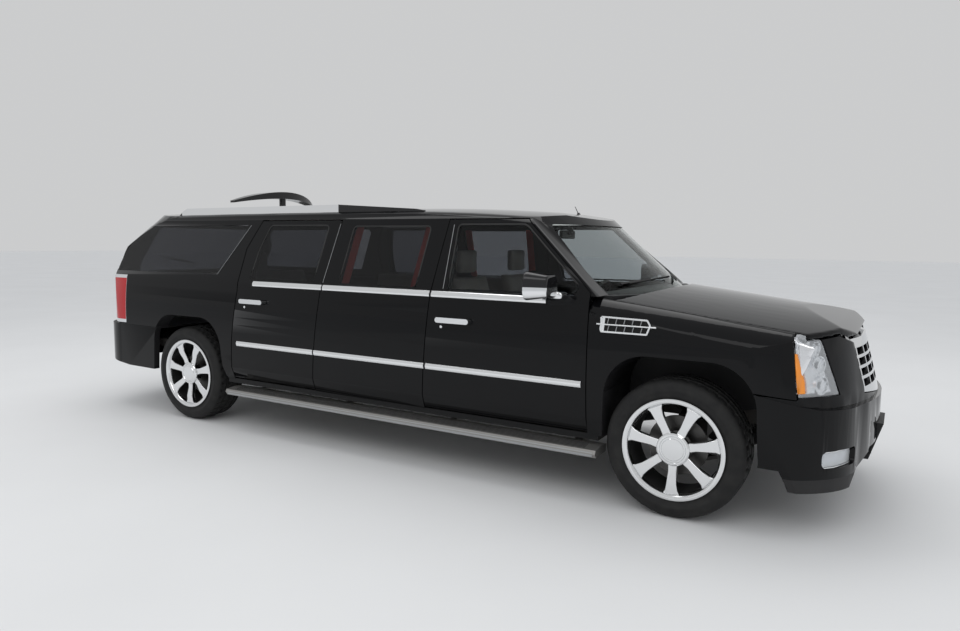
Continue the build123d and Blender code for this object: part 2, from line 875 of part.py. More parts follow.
with BuildPart() as fog_cut:
    with BuildSketch(Plane.YZ.offset(front_axle_x + 560)):
        with Locations((-735, 440), (735, 440)):
            RectangleRounded(250, 96, 30)
    extrude(amount=500)
with BuildPart() as bumper_hollow:
    add(Pos(-bumper_wall, 0, -18) * bumper_outer)
    add(block(x + 200, x + 1100, -half_width + bumper_wall, half_width - bumper_wall, 200, bumper_top_z),
        mode=Mode.INTERSECT)
    add(block(x + 200, x + 780, -620, 620, 300, bumper_top_z + 20))

# Body-colour face above the bumper's shelf, round the lamps and the grille
grille_low_half = 408
grille_high_half = 510
grille_low_z = 752
grille_high_z = 1062
grille_gap = 4
with BuildPart() as face_right:
    with BuildSketch(Plane.YZ.offset(front_axle_x + 300)):
        with BuildLine():
            Polyline(
                (0, shelf_z - 12),
                (0, shelf_z + 2),
                (-grille_low_half - grille_gap, grille_low_z - grille_gap),
                (-grille_high_half - grille_gap, grille_high_z),
                (-grille_high_half - grille_gap, 1450),
                (-1250, 1450),
                (-1250, shelf_z - 12),
                close=True,
            )
        make_face()
    extrude(amount=900)
    add(outboard(lamp_gap), mode=Mode.SUBTRACT)
with BuildPart() as face_low:
    with BuildSketch(Plane.XZ.offset(-1100)):
        with BuildLine():
            Polyline(
                (x + 440, shelf_z - 12),
                (x + 440, 781),
                (x + 632, 763),
                (x + 640, lamp_low_z - lamp_gap),
                (x + 1050, lamp_low_z - lamp_gap),
                (x + 1050, shelf_z - 12),
                close=True,
            )
        make_face()
    extrude(amount=2200)
    add(block(x + 650, x + 1050, -1100, 1100, lamp_low_z - lamp_gap - 20, 1450))
with BuildPart() as nose_face:
    add(clip_form)
    add(both_sides(face_right.part), mode=Mode.INTERSECT)
    add(face_low.part, mode=Mode.INTERSECT)
    add(below_hood, mode=Mode.INTERSECT)
    add(Pos(-bumper_wall, 0, 0) * clip_form, mode=Mode.SUBTRACT)
with BuildPart() as front_bumper:
    add(bumper_outer)
    add(bumper_hollow.part, mode=Mode.SUBTRACT)
    add(nose_face.part)
    add(front_arch, mode=Mode.SUBTRACT)
    mirror(front_arch, about=Plane.XZ, mode=Mode.SUBTRACT)
    add(fog_cut.part, mode=Mode.SUBTRACT)
    with BuildSketch(Plane.YZ.offset(front_axle_x + 700)):
        with Locations((0, 385)):
            RectangleRounded(760, 86, 24)
    extrude(amount=400, mode=Mode.SUBTRACT)
    with BuildSketch(Plane.YZ.offset(front_axle_x + 700)):
        with Locations((-180, 400), (180, 400)):
            Rectangle(16, 110)
    extrude(amount=275)
    with BuildSketch(Plane.XZ.offset(-165)):
        with BuildLine():
            Polyline(
                (x + 960, 532),
                (x + front_reach, 528),
                (x + front_reach - 70, 300),
                (x + 925, 300),
                (x + 925, 420),
                close=True,
            )
        make_face()
    extrude(amount=330)
    with BuildSketch(Plane.YZ.offset(front_axle_x + 900)):
        with Locations((0, plate_z)):
            with GridLocations(plate_bolts_y, plate_bolts_z, 2, 2):
                Circle(plate_bolt_radius)
    extrude(amount=400, mode=Mode.SUBTRACT)
finish(front_bumper.part, "front_bumper")

with BuildPart() as fog_lamp:
    with BuildSketch(Plane.XY.offset(380)):
        with BuildLine():
            Polyline((x + 690, -612), (x + 884, -612), (x + 822, -735), (x + 742, -858), (x + 690, -858),
                     close=True)
        make_face()
    extrude(amount=120)
    with BuildSketch(Plane.YZ.offset(front_axle_x + 560)) as lens:
        with Locations((-735, 440)):
            Rectangle(240, 86)
        chamfer(lens.vertices(), 18)
    extrude(amount=500, mode=Mode.INTERSECT)

with BuildPart() as front_lamps:
    add(headlamp)
    mirror(headlamp, about=Plane.XZ)
    add(fog_lamp.part)
    mirror(fog_lamp.part, about=Plane.XZ)
finish(front_lamps.part, "front_lamps")

# Grille: a raked egg-crate of bars below a plain top plate, narrower at its foot
grille_rows = 4
grille_columns = 7
grille_bar = 17
cells_low_z = 768
cells_high_z = 1004
with BuildPart() as grille:
    with BuildSketch(Plane.XY.offset(shelf_z)) as plan:
        with BuildLine():
            ThreePointArc((x + 899, -grille_high_half), (x + 987, 0), (x + 899, grille_high_half))
            ThreePointArc((x + 829, -grille_high_half), (x + 917, 0), (x + 829, grille_high_half))
            Line((x + 899, -grille_high_half), (x + 829, -grille_high_half))
            Line((x + 899, grille_high_half), (x + 829, grille_high_half))
        make_face()
    extrude(amount=grille_high_z - shelf_z, dir=(-0.26, 0, 1))
    with BuildSketch(Plane.YZ.offset(front_axle_x + 600)):
        with BuildLine():
            Polyline(
                (0, shelf_z + 6),
                (grille_low_half, grille_low_z),
                (grille_high_half, grille_high_z),
                (-grille_high_half, grille_high_z),
                (-grille_low_half, grille_low_z),
                close=True,
            )
        make_face()
    extrude(amount=500, mode=Mode.INTERSECT)
    with BuildSketch(Plane.YZ.offset(front_axle_x + 600)):
        with Locations((0, (cells_low_z + cells_high_z) / 2)):
            with GridLocations(2 * grille_high_half / grille_columns, (cells_high_z - cells_low_z) / grille_rows,
                               grille_columns, grille_rows):
                Rectangle(2 * grille_high_half / grille_columns - grille_bar,
                          (cells_high_z - cells_low_z) / grille_rows - grille_bar)
        with BuildLine():
            Polyline(
                (grille_low_half - 22, grille_low_z),
                (grille_high_half - 24, grille_high_z),
                (-grille_high_half + 24, grille_high_z),
                (-grille_low_half + 22, grille_low_z),
                close=True,
            )
        make_face(mode=Mode.INTERSECT)
    extrude(amount=500, mode=Mode.SUBTRACT)
finish(grille.part, "grille")

# Pairs on the body
for name, right in (
    ("stretch_panels", stretch_right),
    ("quarter_panels", quarter_right),
    ("front_fenders", fender_right),
    ("tail_lamps", tail_lamp),
):
    finish(both_sides(right), name)
with BuildPart() as side_glass:
    for pane in (stretch_pane, quarter_pane):
        add(pane)
        mirror(pane, about=Plane.XZ)
finish(side_glass.part, "side_glass")

# Doors, their glass, handles and mirrors
for name, right in (
    ("front_door", front_door),
    ("front_door_glass", front_pane),
    ("front_handle", handle_front),
    ("rear_door", rear_door),
    ("rear_door_glass", rear_pane),
    ("rear_handle", handle_rear),
    ("door_mirror", mirror_right),
):
    finish(right, f"{name}_right")
    finish(mirror(right, about=Plane.XZ), f"{name}_left")

# Rear bumper
with BuildPart() as rear_form:
    with BuildSketch(Plane.XY.offset(400)) as plan:
        with BuildLine():
            ThreePointArc((tail_x + 70, -760), (tail_x, 0), (tail_x + 70, 760))
            for side in (-1, 1):
                ThreePointArc(
                    (tail_x + 70, side * 760), (tail_x + 165, side * 905), (tail_x + 400, side * 985)
                )
                Polyline((tail_x + 400, side * 985), (tail_x + 1000, side * 1000), (tail_x + 1000, 0))
        make_face()
    extrude(amount=388)
    with BuildSketch(Plane.XZ.offset(-1100)):
        with BuildLine():
            Polyline(
                (tail_x, 790),
                (tail_x, 600),
                (tail_x + 60, 515),
                (tail_x + 240, 432),
                (tail_x + 520, 402),
                (tail_x + 1000, 402),
                (tail_x + 1000, 790),
                close=True,
            )
        make_face()
    extrude(amount=2200, mode=Mode.INTERSECT)
rear_wall = 60
with BuildPart() as rear_hollow:
    add(Pos(rear_wall, 0, -18) * rear_form.part)
    add(block(tail_x, tail_x + 1100, -half_width + rear_wall, half_width - rear_wall, 300, 900),
        mode=Mode.INTERSECT)
with BuildPart() as rear_bumper:
    add(rear_form.part)
    add(rear_hollow.part, mode=Mode.SUBTRACT)
    add(rear_arch, mode=Mode.SUBTRACT)
    mirror(rear_arch, about=Plane.XZ, mode=Mode.SUBTRACT)
finish(rear_bumper.part, "rear_bumper")

# Roof rails and the wing-shaped aerial on its post
rail_rear_x = rear_axle_x - 330
rail_front_x = front_axle_x - 1920
with BuildPart() as rail_build:
    with BuildSketch(Plane.XZ.offset(rail_y - 16)):
        with BuildLine():
            Polyline(
                (rail_rear_x - 90, rail_z - 46),
                (rail_rear_x, rail_z + 26),
                (rail_rear_x + 60, rail_z + 50),
                (front_axle_x - 2720, rail_z + 56),
                (rail_front_x - 60, rail_z + 14),
                (rail_front_x, rail_z + 4),
                (rail_front_x, rail_z - 46),
                close=True,
            )
        make_face()
    extrude(amount=34)
    add(roof_dome(0), mode=Mode.SUBTRACT)
finish(both_sides(rail_build.part), "roof_rails")

aerial_x = front_axle_x - 4070
aerial_half = 500
with BuildPart() as roof_antenna:
    with BuildSketch(Plane.YZ.offset(aerial_x - 170)):
        with BuildLine():
            ThreePointArc((-aerial_half, 1930), (0, 2030), (aerial_half, 1930))
            ThreePointArc((-aerial_half, 1912), (0, 1966), (aerial_half, 1912))
            Line((-aerial_half, 1930), (-aerial_half, 1912))
            Line((aerial_half, 1930), (aerial_half, 1912))
        make_face()
    extrude(amount=240)
    with BuildSketch(Plane.XY.offset(1880)):
        with BuildLine():
            ThreePointArc((aerial_x - 110, -aerial_half), (aerial_x + 60, 0), (aerial_x - 110, aerial_half))
            ThreePointArc((aerial_x - 160, -aerial_half), (aerial_x - 90, 0), (aerial_x - 160, aerial_half))
            Line((aerial_x - 110, -aerial_half), (aerial_x - 160, -aerial_half))
            Line((aerial_x - 110, aerial_half), (aerial_x - 160, aerial_half))
        make_face()
    extrude(amount=200, mode=Mode.INTERSECT)
    with BuildSketch(Plane.XY.offset(1790)):
        with Locations((aerial_x - 20, 0)):
            Circle(30)
    extrude(amount=190)
    add(roof_dome(0), mode=Mode.SUBTRACT)
finish(roof_antenna.part, "roof_antenna")

# Running boards with brackets
board_front = front_axle_x - 445
board_rear = rear_axle_x + 545
with BuildPart() as board_build:
    with BuildSketch(Plane.YZ.offset(board_rear)) as end:
        with BuildLine():
            Polyline((-850, 300), (-850, 345), (-940, 352), (-1030, 342), (-1040, 318), (-1020, 292),
                     close=True)
        make_face()
        fillet(end.vertices().sort_by(Axis.Y)[:3], 8)
    extrude(amount=board_front - board_rear)
    with BuildSketch(Plane.XY.offset(300)):
        with GridLocations((board_front - board_rear - 400) / 3, 1, 4, 1):
            with Locations(((board_front + board_rear) / 2, -790)):
                Rectangle(60, 180)
    extrude(amount=35)
finish(both_sides(board_build.part), "running_boards")

# Fender vents
with BuildPart() as vent_build:
    with BuildSketch(Plane.XZ.offset(985)):
        with Locations((front_axle_x - 297, 1104)):
            SlotOverall(300, 96)
            Rectangle(380, 16)
    extrude(amount=24)
    with BuildSketch(Plane.XZ.offset(996)):
        with Locations((front_axle_x - 297, 1104)):
            with GridLocations(52, 52, 4, 2):
                Rectangle(36, 26)
    extrude(amount=20, mode=Mode.SUBTRACT)
    add(clip_form, mode=Mode.SUBTRACT)
finish(both_sides(vent_build.part), "fender_vents")


# Wheels
def wheel_pair(axle_x, where):
    """Rim with hub, disc and seven spokes, and its tyre, on both sides."""
    with BuildPart() as rim:
        with BuildSketch(Plane.YZ.offset(axle_x)):
            with BuildLine():
                Polyline(
                    (-track_half + 118, tyre_radius + 285),
                    (-track_half - 128, tyre_radius + 285),
                    (-track_half - 136, tyre_radius + 296),
                    (-track_half - 142, tyre_radius + 290),
                    (-track_half - 136, tyre_radius + 262),
                    (-track_half - 70, tyre_radius + 250),
                    (-track_half + 118, tyre_radius + 262),
                    close=True,
                )
            make_face()
        revolve(axis=Axis((axle_x, 0, tyre_radius), (0, 1, 0)))
        with BuildSketch(Plane.XZ.offset(track_half + 84)):
            with Locations((axle_x, tyre_radius)):
                with PolarLocations(0, 7, start_angle=90):
                    Polygon((0, 27), (60, 27), (258, 40), (258, -40), (60, -27), (0, -27), align=None)
                Circle(86)
        extrude(amount=34)
        with BuildSketch(Plane.XZ.offset(track_half - 20)):
            with Locations((axle_x, tyre_radius)):
                Circle(82)
        extrude(amount=110)
        with BuildSketch(Plane.XZ.offset(track_half - 20)):
            with Locations((axle_x, tyre_radius)):
                Circle(178)
        extrude(amount=28)
        with BuildSketch(Plane.XZ.offset(track_half - 30)):
            with Locations((axle_x, tyre_radius)):
                Circle(36)
        extrude(amount=100, mode=Mode.SUBTRACT)
    with BuildPart() as tyre:
        with BuildSketch(Plane.YZ.offset(axle_x)):
            with BuildLine():
                y = track_half
                r = tyre_radius
                half = tyre_width / 2
                Polyline(
                    (-y - 128, r + 285),
                    (-y + 118, r + 285),
                    (-y + 118, r + 300),
                    (-y + half, r + 345),
                    (-y + 118, r + r - 12),
                    (-y + 96, r + r),
                    (-y - 96, r + r),
                    (-y - 118, r + r - 12),
                    (-y - half, r + 345),
                    (-y - 136, r + 296),
                    close=True,
                )
            make_face()
        revolve(axis=Axis((axle_x, 0, tyre_radius), (0, 1, 0)))
    for side, turn in (("right", 1), ("left", -1)):
        if turn > 0:
            finish(rim.part, f"{where}_rim_{side}")
            finish(tyre.part, f"{where}_tyre_{side}")
        else:
            finish(mirror(rim.part, about=Plane.XZ), f"{where}_rim_{side}")
            finish(mirror(tyre.part, about=Plane.XZ), f"{where}_tyre_{side}")


wheel_pair(front_axle_x, "front")
wheel_pair(rear_axle_x, "rear")

# Steering knuckles: upright, spindle and brake caliper
with BuildPart() as knuckle:
    with BuildSketch(Plane.XY.offset(tyre_radius - 140.5)):
        with Locations((front_axle_x, -kingpin_y + 30)):
            RectangleRounded(70, 56, 14)
    extrude(amount=281)
    with BuildSketch(Plane.XZ.offset(kingpin_y - 20)):
        with Locations((front_axle_x, tyre_radius)):
            Circle(34.95)
    extrude(amount=96)
    with BuildSketch(Plane.XZ.offset(kingpin_y - 30)):
        with Locations((front_axle_x, tyre_radius)):
            Circle(62)
    extrude(amount=24)
    with BuildSketch(Plane.YZ.offset(front_axle_x - 150)):
        with Locations((-kingpin_y + 30, tyre_radius - 80)):
            Rectangle(26, 36)
    extrude(amount=150)
finish(knuckle.part, "knuckle_right")
finish(mirror(knuckle.part, about=Plane.XZ), "knuckle_left")

# Chassis frame: two rails and cross-members
rail_half_gap = 420
with BuildPart() as chassis_frame:
    with BuildSketch(Plane.YZ.offset(tail_x + 160)):
        for side in (-1, 1):
            with Locations((side * rail_half_gap, 555)):
                Rectangle(76, 118)
    extrude(amount=front_axle_x + 820 - (tail_x + 160))
    for member_x in (front_axle_x + 700, front_axle_x - 700, front_axle_x - 1700, rear_axle_x + 1100,
                     rear_axle_x + 350, tail_x + 250):
        with BuildSketch(Plane.XZ.offset(-rail_half_gap)):
            with Locations((member_x, 548)):
                Rectangle(90, 80)
        extrude(amount=2 * rail_half_gap)
finish(chassis_frame.part, "chassis_frame")

# Floor with sills and firewall
floor_half = half_width - door_wall - 9
with BuildPart() as floor_pan:
    add(block(tail_face_x + 90, firewall_x, -floor_half, floor_half, 616, floor_top_z))
    for side in (-1, 1):
        add(block(rear_axle_x + 300, firewall_x, min(side * 730, side * 858),
                  max(side * 730, side * 858), 380, 640))
        add(block(rear_axle_x + 300, firewall_x, min(side * 730, side * sill_y),
                  max(side * 730, side * sill_y), sill_z, sill_top_z))
    add(block(firewall_x - 30, firewall_x, -780, 780, 616, 1212))
    for cut in (rear_arch, front_arch):
        add(cut, mode=Mode.SUBTRACT)
        mirror(cut, about=Plane.XZ, mode=Mode.SUBTRACT)
finish(floor_pan.part, "floor_pan")

# Cowl between the hood and the windshield
cowl_half = hood_half - 14
with BuildPart() as cowl_panel:
    with BuildSketch(Plane.XY.offset(1222)):
        with BuildLine():
            ThreePointArc((hood_back_x - 14, -cowl_half), (hood_back_x + 176, 0), (hood_back_x - 14, cowl_half))
            Polyline((hood_back_x - 14, cowl_half), (windshield_base_x - 70, cowl_half),
                     (windshield_base_x - 70, -cowl_half), (hood_back_x - 14, -cowl_half))
        make_face()
    extrude(amount=cowl_z - 1222)
finish(cowl_panel.part, "cowl_panel")

# Dashboard and steering wheel
wheel_hub = Vector(front_axle_x - 1020, 400, 1115)
with BuildPart() as dashboard:
    with BuildSketch(Plane.XZ.offset(-840)):
        with BuildLine():
            x = firewall_x - 34
            Polyline((x, 700), (x, 1210), (x - 330, 1212), (x - 430, 1160), (x - 440, 1040),
                     (x - 300, 960), (x - 240, 760), (x - 120, 700), close=True)
        make_face()
    extrude(amount=1680)
    add(block(x - 1100, x - 200, -128, 128, floor_top_z, 900))
finish(dashboard.part, "dashboard")

with BuildPart() as steering_wheel:
    rim_plane = Plane(wheel_hub, z_dir=Vector(-0.86, 0, 0.5))
    with BuildSketch(rim_plane):
        Circle(190)
        Circle(160, mode=Mode.SUBTRACT)
        with PolarLocations(0, 3, start_angle=90):
            with Locations((85, 0)):
                Rectangle(160, 36)
        Circle(58)
    extrude(amount=26)
    with BuildSketch(rim_plane):
        Circle(34)
    extrude(amount=-170)
    add(dashboard.part, mode=Mode.SUBTRACT)
finish(steering_wheel.part, "steering_wheel")


# Seats
def seat(x, y, width, back_high, turn):
    """A cushion on its base with a leaning backrest and headrest, facing along turn."""
    place = Pos(x, y, 0) * Rot(0, 0, turn)
    with BuildPart() as made:
        with BuildSketch(Plane.XZ.offset(-width / 2)):
            with BuildLine():
                Polyline((-270, 760), (-270, 900), (230, 960), (260, 900), (240, 700), (220, floor_top_z),
                         (-220, floor_top_z), close=True)
            make_face()
        extrude(amount=width)
        with BuildSketch(Plane.XZ.offset(-width / 2)):
            with BuildLine():
                Polyline((-260, 860), (-200, 900), (-120, 940), (-250, back_high), (-350, back_high),
                         (-290, 900), close=True)
            make_face()
        extrude(amount=width)
        with BuildSketch(Plane.XZ.offset(-130)):
            with BuildLine():
                Polyline((-262, back_high - 10), (-268, back_high + 190), (-350, back_high + 190),
                         (-348, back_high - 10), close=True)
            make_face()
        extrude(amount=260)
    return place * made.part


with BuildPart() as front_seats:
    for side in (-1, 1):
        add(seat(front_axle_x - 1450, side * 400, 520, 1340, 0))
finish(front_seats.part, "front_seats")

with BuildPart() as rear_seats:
    add(seat(rear_axle_x + 120, 0, 1250, 1300, 0))
    add(seat(rear_axle_x + 1500, 480, 1600, 1280, -90))
finish(rear_seats.part, "rear_seats")

# Rear axle: tube, differential and spindles, with the propeller shaft
with BuildPart() as rear_axle:
    with BuildSketch(Plane.XZ.offset(-track_half + 90)):
        with Locations((rear_axle_x, tyre_radius)):
            Circle(46)
    extrude(amount=2 * (track_half - 90))
    with BuildSketch(Plane.XZ.offset(-track_half - 26)):
        with Locations((rear_axle_x, tyre_radius)):
            Circle(34.95)
    extrude(amount=2 * (track_half + 26))
    with BuildSketch(Plane.YZ.offset(rear_axle_x - 130)):
        with Locations((0, tyre_radius)):
            Circle(130)
    extrude(amount=300, taper=8)
    with BuildSketch(Plane.YZ.offset(rear_axle_x + 160)):
        with Locations((0, tyre_radius + 40)):
            Circle(40)
    extrude(amount=wheelbase - 900)
    for side in (-1, 1):
        with BuildSketch(Plane.XY.offset(tyre_radius + 30)):
            with Locations((rear_axle_x - 10, side * rail_half_gap)):
                Circle(52)
        extrude(amount=496 - tyre_radius - 30)
finish(rear_axle.part, "rear_axle")

# Front suspension: cross-tube and arms that reach the knuckles
with BuildPart() as front_suspension:
    with BuildSketch(Plane.XZ.offset(-460)):
        with Locations((front_axle_x, 430)):
            Rectangle(150, 110)
    extrude(amount=920)
    for side in (-1, 1):
        for z, x_half in ((tyre_radius - 165, 55), (tyre_radius + 141, 40)):
            with BuildSketch(Plane.XY.offset(z)):
                with BuildLine():
                    Polyline(
                        (front_axle_x - x_half - 90, side * 459),
                        (front_axle_x + x_half + 90, side * 459),
                        (front_axle_x + x_half, side * 600),
                        (front_axle_x + 24, side * 786),
                        (front_axle_x - 24, side * 786),
                        (front_axle_x - x_half, side * 600),
                        close=True,
                    )
                make_face()
            extrude(amount=24)
        with BuildSketch(Plane.XY.offset(tyre_radius - 167)):
            with Locations((front_axle_x, side * 440)):
                Rectangle(150, 40)
        extrude(amount=150)
finish(front_suspension.part, "front_suspension")

# Exhaust: pipe, silencer and tailpipe
with BuildPart() as exhaust:
    with BuildSketch(Plane.YZ.offset(rear_axle_x + 560)):
        with Locations((-230, 425)):
            RectangleRounded(260, 130, 50)
    extrude(amount=620)
    with BuildSketch(Plane.YZ.offset(rear_axle_x + 1170)):
        with Locations((-230, 425)):
            Circle(34)
    extrude(amount=wheelbase - 1900)
finish(exhaust.part, "exhaust")

# Fuel tank
with BuildPart() as fuel_tank:
    with BuildSketch(Plane.YZ.offset(rear_axle_x + 1200)):
        with Locations((230, 512)):
            RectangleRounded(250, 190, 50)
    extrude(amount=1100)
finish(fuel_tank.part, "fuel_tank")

# Engine block
with BuildPart() as engine_block:
    with Locations((front_axle_x + 130, 0, 850)):
        Box(780, 600, 430)
finish(engine_block.part, "engine_block")
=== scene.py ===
"""Looks for a stretch limousine: paint, glass, chrome, tyres, lamps and seats around its CAD frame."""

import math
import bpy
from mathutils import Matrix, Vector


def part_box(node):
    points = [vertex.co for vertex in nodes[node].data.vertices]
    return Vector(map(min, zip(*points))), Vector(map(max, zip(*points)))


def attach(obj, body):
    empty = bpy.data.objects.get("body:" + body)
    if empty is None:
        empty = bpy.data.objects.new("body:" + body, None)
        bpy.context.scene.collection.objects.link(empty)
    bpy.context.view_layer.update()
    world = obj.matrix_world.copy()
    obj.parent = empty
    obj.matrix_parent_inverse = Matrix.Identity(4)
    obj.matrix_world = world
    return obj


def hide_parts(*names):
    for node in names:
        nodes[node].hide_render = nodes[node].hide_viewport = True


bl_info = {
    "name": "Stretch limousine",
    "version": (1, 0, 0),
    "blender": (4, 5, 0),
    "location": "View3D > Sidebar > Limousine",
    "description": "Dresses the limousine's CAD frame and lights it in a plain studio",
    "category": "Object",
}

import bpy
from mathutils import Matrix, Vector
from mathutils.bvhtree import BVHTree

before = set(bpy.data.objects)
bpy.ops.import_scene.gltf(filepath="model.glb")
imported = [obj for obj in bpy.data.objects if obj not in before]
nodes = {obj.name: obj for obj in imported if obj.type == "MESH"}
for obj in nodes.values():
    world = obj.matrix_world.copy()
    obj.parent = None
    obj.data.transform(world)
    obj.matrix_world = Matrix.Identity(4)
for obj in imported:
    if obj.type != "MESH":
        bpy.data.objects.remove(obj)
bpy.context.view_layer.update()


def middle(node):
    """Middle of a CAD node's box."""
    low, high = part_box(node)
    return (low + high) / 2


# The right front wheel's centre, both axles' places and the tyres' radius, read from the frame
front_wheel = middle("front_tyre_right")
front_x = front_wheel.x
rear_x = middle("rear_tyre_right").x
tyre_radius = front_wheel.z

# The body's cross-section, as (height, half width).
# It is curved from the sill to the belt and straight elsewhere.
FOOT, SILL, WIDEST, BELT, ROOF = (0.375, 0.925), (0.52, 0.985), (0.80, 1.003), (1.225, 0.978), (1.72, 0.80)

# Vertices nearer to each other than this are one: in a drawn piece, and in a copy of a CAD node
MERGE, NODE_MERGE = 0.00005, 0.0002

# Directions that outlines are drawn along
RIGHTWARDS, UPWARDS = (0, -1, 0), (0, 0, 1)
FORWARDS, LEFTWARDS = (1, 0, 0), (0, 1, 0)


def between(z, low, high):
    """Half width at height z on the straight line through two points of the cross-section."""
    return low[1] + (high[1] - low[1]) * (z - low[0]) / (high[0] - low[0])


def skin_y(z):
    """Half width of the body's side at height z."""
    if z < SILL[0]:
        return between(z, FOOT, SILL)
    if z > BELT[0]:
        return between(z, BELT, ROOF)
    total = 0
    for here, others in ((SILL, (WIDEST, BELT)), (WIDEST, (SILL, BELT)), (BELT, (SILL, WIDEST))):
        part = here[1]
        for other in others:
            part *= (z - other[0]) / (here[0] - other[0])
        total += part
    return total


def within_skin(centre, depth):
    """Whether a place lies deeper than depth behind the body's side."""
    return abs(centre.y) < skin_y(centre.z) - depth


# Modelling helpers
def clear_selection():
    """Leave object mode ready for the next piece."""
    if bpy.context.object and bpy.context.object.mode != "OBJECT":
        bpy.ops.object.mode_set(mode="OBJECT")
    bpy.ops.object.select_all(action="DESELECT")


def take(piece):
    """Make one piece the only selected and active one."""
    clear_selection()
    piece.select_set(True)
    bpy.context.view_layer.objects.active = piece
    return piece


def edit(piece, action="SELECT"):
    """Open one piece in edit mode with everything, or nothing, selected."""
    take(piece)
    bpy.ops.object.mode_set(mode="EDIT")
    bpy.ops.mesh.select_all(action=action)


def close():
    """Leave edit mode."""
    bpy.ops.object.mode_set(mode="OBJECT")


def pick(piece, kind, test):
    """Open one piece in edit mode with only the vertices or polygons selected that pass a test."""
    edit(piece, "DESELECT")
    close()
    for element in getattr(piece.data, kind):
        element.select = test(element)
    bpy.ops.object.mode_set(mode="EDIT")


def settle(piece):
    """Put a piece's place, turn and scale into its mesh."""
    take(piece)
    bpy.ops.object.transform_apply(location=True, rotation=True, scale=True)
    return piece


def set_down(piece, place, degrees=0, axis=2):
    """Turn a piece that stands at the origin about one axis (0 to 2 for X to Z) and put it at its place."""
    piece.rotation_euler[axis] = math.radians(degrees)
    piece.location = place
    return settle(piece)


def modify(piece, kind, **values):
    """Add one modifier and apply it."""
    take(piece)
    modifier = piece.modifiers.new(kind.title(), kind)
    for key, value in values.items():
        setattr(modifier, key, value)
    bpy.ops.object.modifier_apply(modifier=modifier.name)
    return piece


def reskin(piece, voxel, rounds):
    """Rebuild a piece as one even skin and smooth it."""
    modify(piece, "REMESH", mode="VOXEL", voxel_size=voxel, use_smooth_shade=True)
    return modify(piece, "SMOOTH", factor=0.5, iterations=rounds)


def soften(piece, width, segments=2, angle=35):
    """Round a piece's sharp edges and shade it smooth between them."""
    take(piece)
    bpy.ops.object.shade_smooth_by_angle(angle=math.radians(angle))
    if width:
        modify(piece, "BEVEL", width=width, segments=segments, limit_method="ANGLE",
               angle_limit=math.radians(angle), harden_normals=True)
    return piece


def tidy_normals():
    """In edit mode: merge doubled vertices and point every face outwards."""
    bpy.ops.mesh.select_all(action="SELECT")
    bpy.ops.mesh.remove_doubles(threshold=MERGE)
    bpy.ops.mesh.normals_make_consistent(inside=False)


def repair(piece):
    """Merge a piece's doubled vertices and point its faces outwards."""
    edit(piece)
    tidy_normals()
    close()


def new_box(name, low, high, bevel, segments=3):
    """A box between two corners with rounded edges."""
    low, high = Vector(low), Vector(high)
    clear_selection()
    bpy.ops.mesh.primitive_cube_add(size=1, location=(low + high) / 2)
    piece = bpy.context.object
    piece.name = name
    piece.scale = high - low
    settle(piece)
    return soften(piece, bevel, segments)


# How a profile turned about Z is laid over to turn about another axis
TURNS = {"X": (0, math.radians(90), 0), "Y": (math.radians(-90), 0, 0), "Z": (0, 0, 0)}

# Radius of the pin hole that closes a turned profile's pole; its points merge into one
POLE = 0.00002


def lathe(name, profile, centre=(0, 0, 0), axis="Y", steps=96, angle=35):
    """Turn a profile of (radius, height) points about an axis through centre."""
    clear_selection()
    radius, height = profile[0]
    bpy.ops.mesh.primitive_circle_add(vertices=steps, radius=radius)
    piece = bpy.context.object
    piece.name = name
    edit(piece)
    bpy.ops.transform.translate(value=(0, 0, height))
    for next_radius, next_height in profile[1:]:
        bpy.ops.mesh.extrude_edges_move(TRANSFORM_OT_translate={"value": (0, 0, next_height - height)})
        scale = next_radius / radius
        bpy.ops.transform.resize(value=(scale, scale, 1))
        radius, height = next_radius, next_height
    tidy_normals()
    close()
    piece.rotation_euler = TURNS[axis]
    piece.location = centre
    settle(piece)
    return soften(piece, 0, angle=angle)


def prism(name, points, depth, origin=(0, 0, 0), u=FORWARDS, v=UPWARDS, bevel=0, corner=0, hollow=0):
    """An outline of (u, v) points pushed out by depth along u x v; hollow leaves a border of that width."""
    clear_selection()
    bpy.ops.mesh.primitive_circle_add(vertices=len(points), radius=1)
    piece = bpy.context.object
    piece.name = name
    for vertex, (a, b) in zip(piece.data.vertices, points):
        vertex.co = (a, b, 0)
    edit(piece)
    bpy.ops.mesh.edge_face_add()
    if corner:
        bpy.ops.mesh.bevel(offset=corner, segments=5, affect="VERTICES")
    if hollow:
        bpy.ops.mesh.select_all(action="SELECT")
        bpy.ops.mesh.inset(thickness=hollow)
        bpy.ops.mesh.delete(type="FACE")
    bpy.ops.mesh.select_all(action="SELECT")
    bpy.ops.mesh.extrude_region_move(TRANSFORM_OT_translate={"value": (0, 0, depth)})
    tidy_normals()
    close()
    u, v = Vector(u), Vector(v)
    turn = Matrix((u, v, u.cross(v).normalized())).transposed().to_4x4()
    piece.matrix_world = Matrix.Translation(origin) @ turn
    settle(piece)
    repair(piece)
    return soften(piece, bevel)


def along_x(name, section, start, length, bevel=0):
    """A bar along X from start, with a section of (y, z) points."""
    return prism(name, section, length, (start, 0, 0), LEFTWARDS, UPWARDS, bevel)


def copy_of(piece, name):
    """A copy with its own mesh."""
    twin = piece.copy()
    twin.data = piece.data.copy()
    twin.name = name
    for key in list(twin.keys()):
        del twin[key]
    twin.parent = None
    bpy.context.scene.collection.objects.link(twin)
    return twin


def mirrored(piece, name):
    """The same piece on the other side of the vehicle."""
    twin = copy_of(piece, name)
    twin.scale = (1, -1, 1)
    settle(twin)
    edit(twin)
    bpy.ops.mesh.normals_make_consistent(inside=False)
    close()
    return twin


def moved(piece, name, offset):
    """The same piece at another place."""
    return set_down(copy_of(piece, name), offset)


